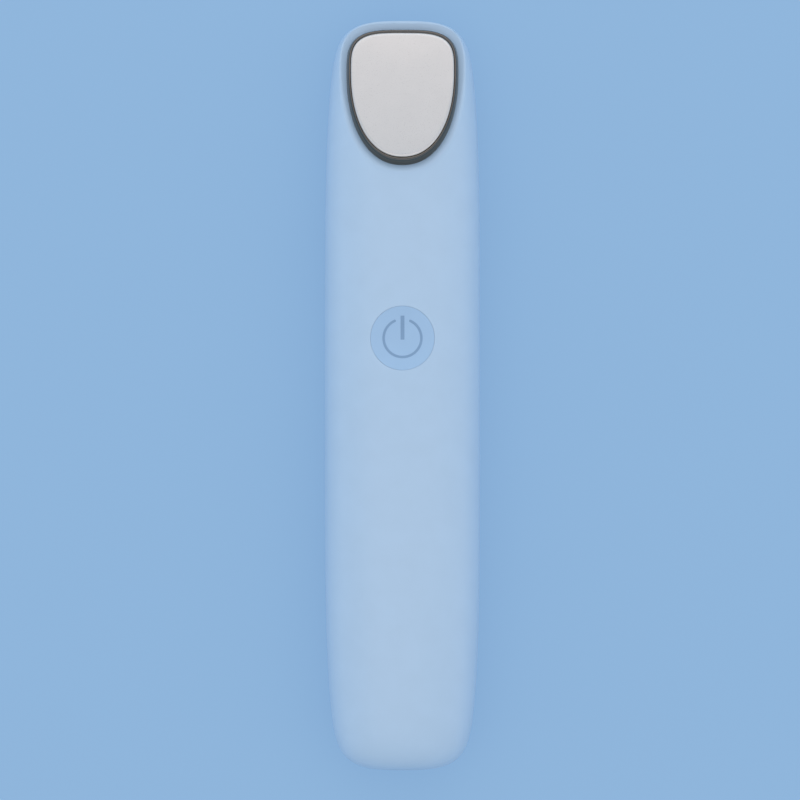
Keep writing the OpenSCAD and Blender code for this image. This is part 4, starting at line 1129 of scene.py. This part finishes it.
    # The smaller screws, of the same zinc-plated steel
    for node in ("bracket_screws", "strap_screws", "board_screws", "charge_screws"):
        plain[node] = ("zinc_plate_" + node, srgb("#C5C9CE"), 0.28, 0.1, 0.002, METAL)
    # Glass-epoxy boards under green solder mask
    for node in ("main_board", "charge_board", "protection_board"):
        plain[node] = ("solder_mask_" + node, copper_tracks, 0.32, 0.3, 0.003, {})
    return {node: finish(name, tint, rough, grain * MM, relief * MM, **extra)
        for node, (name, tint, rough, grain, relief, extra) in plain.items()}


# ---------- Stage ----------

LENS = 150
SENSOR = 36
# The photograph's side in pixels, a pixel's real size at the wand, and the pixels where the
# wand's axis and its middle are
PHOTO_SIZE = 800
PHOTO_PIXEL = 0.1768 * MM
PHOTO_AXIS_X = 402.45
PHOTO_MIDDLE_Y = 395.6
CLIP_START = 0.01
FLOOR_HALF = 6.0
FLOOR_DROP = 0.02 * MM
# Strength of the light all round, and the share of its colour that the table gives by itself
WORLD_LIGHT = 0.75
BACKDROP_GLOW = 0.7
WHITE = (1, 1, 1)
WARM = (1, 0.75, 0.6)
# Where the low and the side lamps face: on the axis, between the wand's middle and its foot
WAND = (0, -0.04, 0.01)
# Name, place, point it faces, size, tint and radiance of each lamp, and whether gloss
# shows it. The backdrop behind a lamp adds its blue to what gloss shows.
SOFTBOXES = [
    ("overhead", (0.075, 0.05, 0.62), (0.075, 0.05, 0), (0.87, 0.3), WARM, 0.65, True),
    ("overhead_low", (-0.12, -0.2, 0.62), (-0.12, -0.2, 0), (0.48, 0.2), WARM, 0.65, True),
    ("overhead_corner", (0.315, -0.2, 0.62), (0.315, -0.2, 0), (0.39, 0.2), WHITE, 0.15, True),
    ("overhead_foot", (0.075, -0.4, 0.62), (0.075, -0.4, 0), (0.87, 0.2), WHITE, 0.4, True),
    ("head_near", (0, 0.585, 0.6), (0, 0.585, 0), (0.9, 0.33), WARM, 0.85, True),
    ("head_far", (0, 0.975, 0.6), (0, 0.975, 0), (0.9, 0.45), WHITE, 1.4, True),
    ("right_wall", (0.8, -0.07, 0.45), (0, -0.07, 0.02), (0.66, 0.6), WARM, 0.25, True),
    ("left_fill", (-0.9, -0.04, 0.2), WAND, (1.0, 0.34), WHITE, 1.05, False),
    ("right_fill", (0.9, -0.04, 0.2), WAND, (1.0, 0.34), WHITE, 0.6, False),
    ("right_high", (0.75, -0.04, 0.6), WAND, (0.6, 0.4), WHITE, 0.2, False),
    ("head_low", (0, 0.9, 0.2), WAND, (0.8, 0.34), WHITE, 1.25, False),
    ("left_edge", (-0.9, -0.04, 0.07), WAND, (1.2, 0.12), WHITE, 0.65, False),
    ("right_edge", (0.9, -0.04, 0.07), WAND, (1.2, 0.12), WHITE, 0.4, False),
]


def backdrop_material(colours):
    """Opal acrylic light table: an even pale blue that glows, so shadows on it stay faint."""
    lit = tuple(c * (1 - BACKDROP_GLOW) for c in colours.backdrop)
    return finish("opal_acrylic", lit, 0.9, 0.8 * MM, 0.002 * MM, vary=0.004,
        sockets={"Emission Color": (*colours.backdrop, 1), "Emission Strength": BACKDROP_GLOW,
        "Specular IOR Level": 0.0})


def make_floor(material):
    """Large square floor just under the wand's resting flat."""
    corners = [(x * FLOOR_HALF, y * FLOOR_HALF, -FLOOR_DROP)
        for x, y in [(-1, -1), (1, -1), (1, 1), (-1, 1)]]
    mesh = bpy.data.meshes.new("floor")
    mesh.from_pydata(corners, [], [(0, 1, 2, 3)])
    floor = bpy.data.objects.new("floor", mesh)
    bpy.context.scene.collection.objects.link(floor)
    floor.data.materials.append(material)


def make_camera(body):
    """Looks straight down at the front, framed as the photograph is."""
    distance = PHOTO_SIZE * PHOTO_PIXEL * LENS / SENSOR
    data = bpy.data.cameras.new("camera")
    data.lens = LENS
    data.sensor_width = SENSOR
    data.clip_start = CLIP_START
    camera = bpy.data.objects.new("camera", data)
    camera.location = ((PHOTO_SIZE / 2 - PHOTO_AXIS_X) * PHOTO_PIXEL,
        (PHOTO_MIDDLE_Y - PHOTO_SIZE / 2) * PHOTO_PIXEL, body.seam_z + distance)
    bpy.context.scene.collection.objects.link(camera)
    bpy.context.scene.camera = camera


def make_softbox(name, place, target, size, tint, radiance, in_gloss):
    """Rectangular lamp at place that faces target, as bright as a panel of that radiance."""
    data = bpy.data.lights.new(name, "AREA")
    data.shape = "RECTANGLE"
    data.size = size[0]
    data.size_y = size[1]
    data.energy = math.pi * radiance * size[0] * size[1]
    data.color = tint
    lamp = bpy.data.objects.new(name, data)
    lamp.location = place
    aim = Vector(target) - Vector(place)
    lamp.rotation_euler = aim.to_track_quat("-Z", "Y").to_euler()
    lamp.visible_glossy = in_gloss
    bpy.context.scene.collection.objects.link(lamp)


def make_world(colours):
    """Even soft light all round, behind which the camera and the metals see the backdrop."""
    world = bpy.data.worlds.new("studio")
    bpy.context.scene.world = world
    world.use_nodes = True
    tree = world.node_tree
    tree.nodes.clear()
    rays = add_node(tree, "ShaderNodeLightPath").outputs
    seen = add_node(tree, "ShaderNodeMath", {0: rays["Is Camera Ray"], 1: rays["Is Glossy Ray"]},
        operation="MAXIMUM")
    seen = add_node(tree, "ShaderNodeMath", {0: seen, 1: rays["Is Transmission Ray"]},
        operation="MAXIMUM")
    light = add_node(tree, "ShaderNodeBackground", {"Color": (1, 1, 1, 1),
        "Strength": WORLD_LIGHT})
    paper = add_node(tree, "ShaderNodeBackground", {"Color": (*colours.backdrop, 1),
        "Strength": 1.0})
    mixed = add_node(tree, "ShaderNodeMixShader", {0: seen, 1: light, 2: paper})
    add_node(tree, "ShaderNodeOutputWorld", {"Surface": mixed})


# ---------- Operators ----------

class WandOperator(bpy.types.Operator):
    """What all the steps share: each can be undone and redone."""
    bl_options = {"REGISTER", "UNDO"}


class WAND_OT_front_shell(WandOperator):
    """Build the front shell with its slanted face and its openings"""
    bl_idname = "wand.front_shell"
    bl_label = "Front shell"

    def execute(self, context):
        piece = make_piece("front_shell_skin", *front_shell_mesh(context.scene))
        seat(piece, moulded_abs(context.scene.wand_colours), "housing", "housing", "front_shell")
        return {"FINISHED"}


class WAND_OT_rear_shell(WandOperator):
    """Build the rear shell with its resting flat"""
    bl_idname = "wand.rear_shell"
    bl_label = "Rear shell"

    def execute(self, context):
        piece = make_piece("rear_shell_skin", *rear_shell_mesh(context.scene))
        seat(piece, moulded_abs(context.scene.wand_colours), "housing", "housing", "rear_shell")
        return {"FINISHED"}


class WAND_OT_heated_head(WandOperator):
    """Build the plated rim and the massage plate"""
    bl_idname = "wand.heated_head"
    bl_label = "Rim and plate"

    def execute(self, context):
        colours = context.scene.wand_colours
        coat = black_nickel(colours)
        seat(rim_piece(context.scene, coat), coat, "housing", "rim", "plate_rim")
        plate = lathe("massage_plate", plate_rings(context.scene))
        seat(plate, satin_stainless(colours), "housing", "plate", "heat_plate")
        return {"FINISHED"}


class WAND_OT_power_button(WandOperator):
    """Build the dished button cap and its power mark"""
    bl_idname = "wand.power_button"
    bl_label = "Power button"

    def execute(self, context):
        colours = context.scene.wand_colours
        cap = lathe("button_cap_dished", cap_rings(context.scene))
        seat(cap, moulded_abs_button(colours), "button", "button", "button_cap")
        mark = make_piece("power_mark_print", *mark_mesh(context.scene))
        seat(mark, pad_print(colours), "button", "mark", "power_mark")
        return {"FINISHED"}


class WAND_OT_charging_port(WandOperator):
    """Build the charging port's metal shell and its gold contacts"""
    bl_idname = "wand.charging_port"
    bl_label = "Charging port"

    def execute(self, context):
        shell = lathe("port_shell_drawn", port_rings())
        seat(shell, tinned_steel(), "housing", "port_metal", "port_shell")
        gold = gold_flash()
        seat(contacts_piece(gold), gold, "housing", "port_metal")
        return {"FINISHED"}


class WAND_OT_inner_parts(WandOperator):
    """Give the pieces inside the wand their materials"""
    bl_idname = "wand.inner_parts"
    bl_label = "Inner parts"

    def execute(self, context):
        for node, material in inner_finishes().items():
            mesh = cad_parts[node].data
            mesh.materials.clear()
            mesh.materials.append(material)
        return {"FINISHED"}


class WAND_OT_stage(WandOperator):
    """Set up the floor, the backdrop, the lamps and the camera"""
    bl_idname = "wand.stage"
    bl_label = "Stage"

    def execute(self, context):
        scene = context.scene
        scene.view_settings.view_transform = "Standard"
        make_floor(backdrop_material(scene.wand_colours))
        make_world(scene.wand_colours)
        make_camera(scene.wand_body)
        for lamp in SOFTBOXES:
            make_softbox(*lamp)
        return {"FINISHED"}


class VIEW3D_PT_wand(bpy.types.Panel):
    """Sidebar panel that lists the wand's sizes, colours and building steps"""
    bl_label = "Eye massager wand"
    bl_idname = "VIEW3D_PT_wand"
    bl_space_type = "VIEW_3D"
    bl_region_type = "UI"
    bl_category = "Wand"

    def draw(self, context):
        for name in GROUPS:
            box = self.layout.box()
            group = getattr(context.scene, name)
            for key in group.bl_rna.properties.keys():
                if key not in ("rna_type", "name"):
                    box.prop(group, key)
        for step in STEPS:
            self.layout.operator(step.bl_idname)


GROUPS = {
    "wand_body": WandBodySizes,
    "wand_head": WandHeadSizes,
    "wand_button": WandButtonSizes,
    "wand_colours": WandColours,
}
STEPS = [WAND_OT_stage, WAND_OT_front_shell, WAND_OT_rear_shell, WAND_OT_heated_head,
    WAND_OT_power_button, WAND_OT_charging_port, WAND_OT_inner_parts]


def register():
    for cls in [*GROUPS.values(), *STEPS, VIEW3D_PT_wand]:
        bpy.utils.register_class(cls)
    for name, cls in GROUPS.items():
        setattr(bpy.types.Scene, name, PointerProperty(type=cls))


def unregister():
    for name in GROUPS:
        delattr(bpy.types.Scene, name)
    for cls in [VIEW3D_PT_wand, *STEPS[::-1], *GROUPS.values()]:
        bpy.utils.unregister_class(cls)


def main():
    register()
    for step in STEPS:
        getattr(bpy.ops.wand, step.bl_idname.split(".")[1])()


if __name__ == "__main__":
    main()
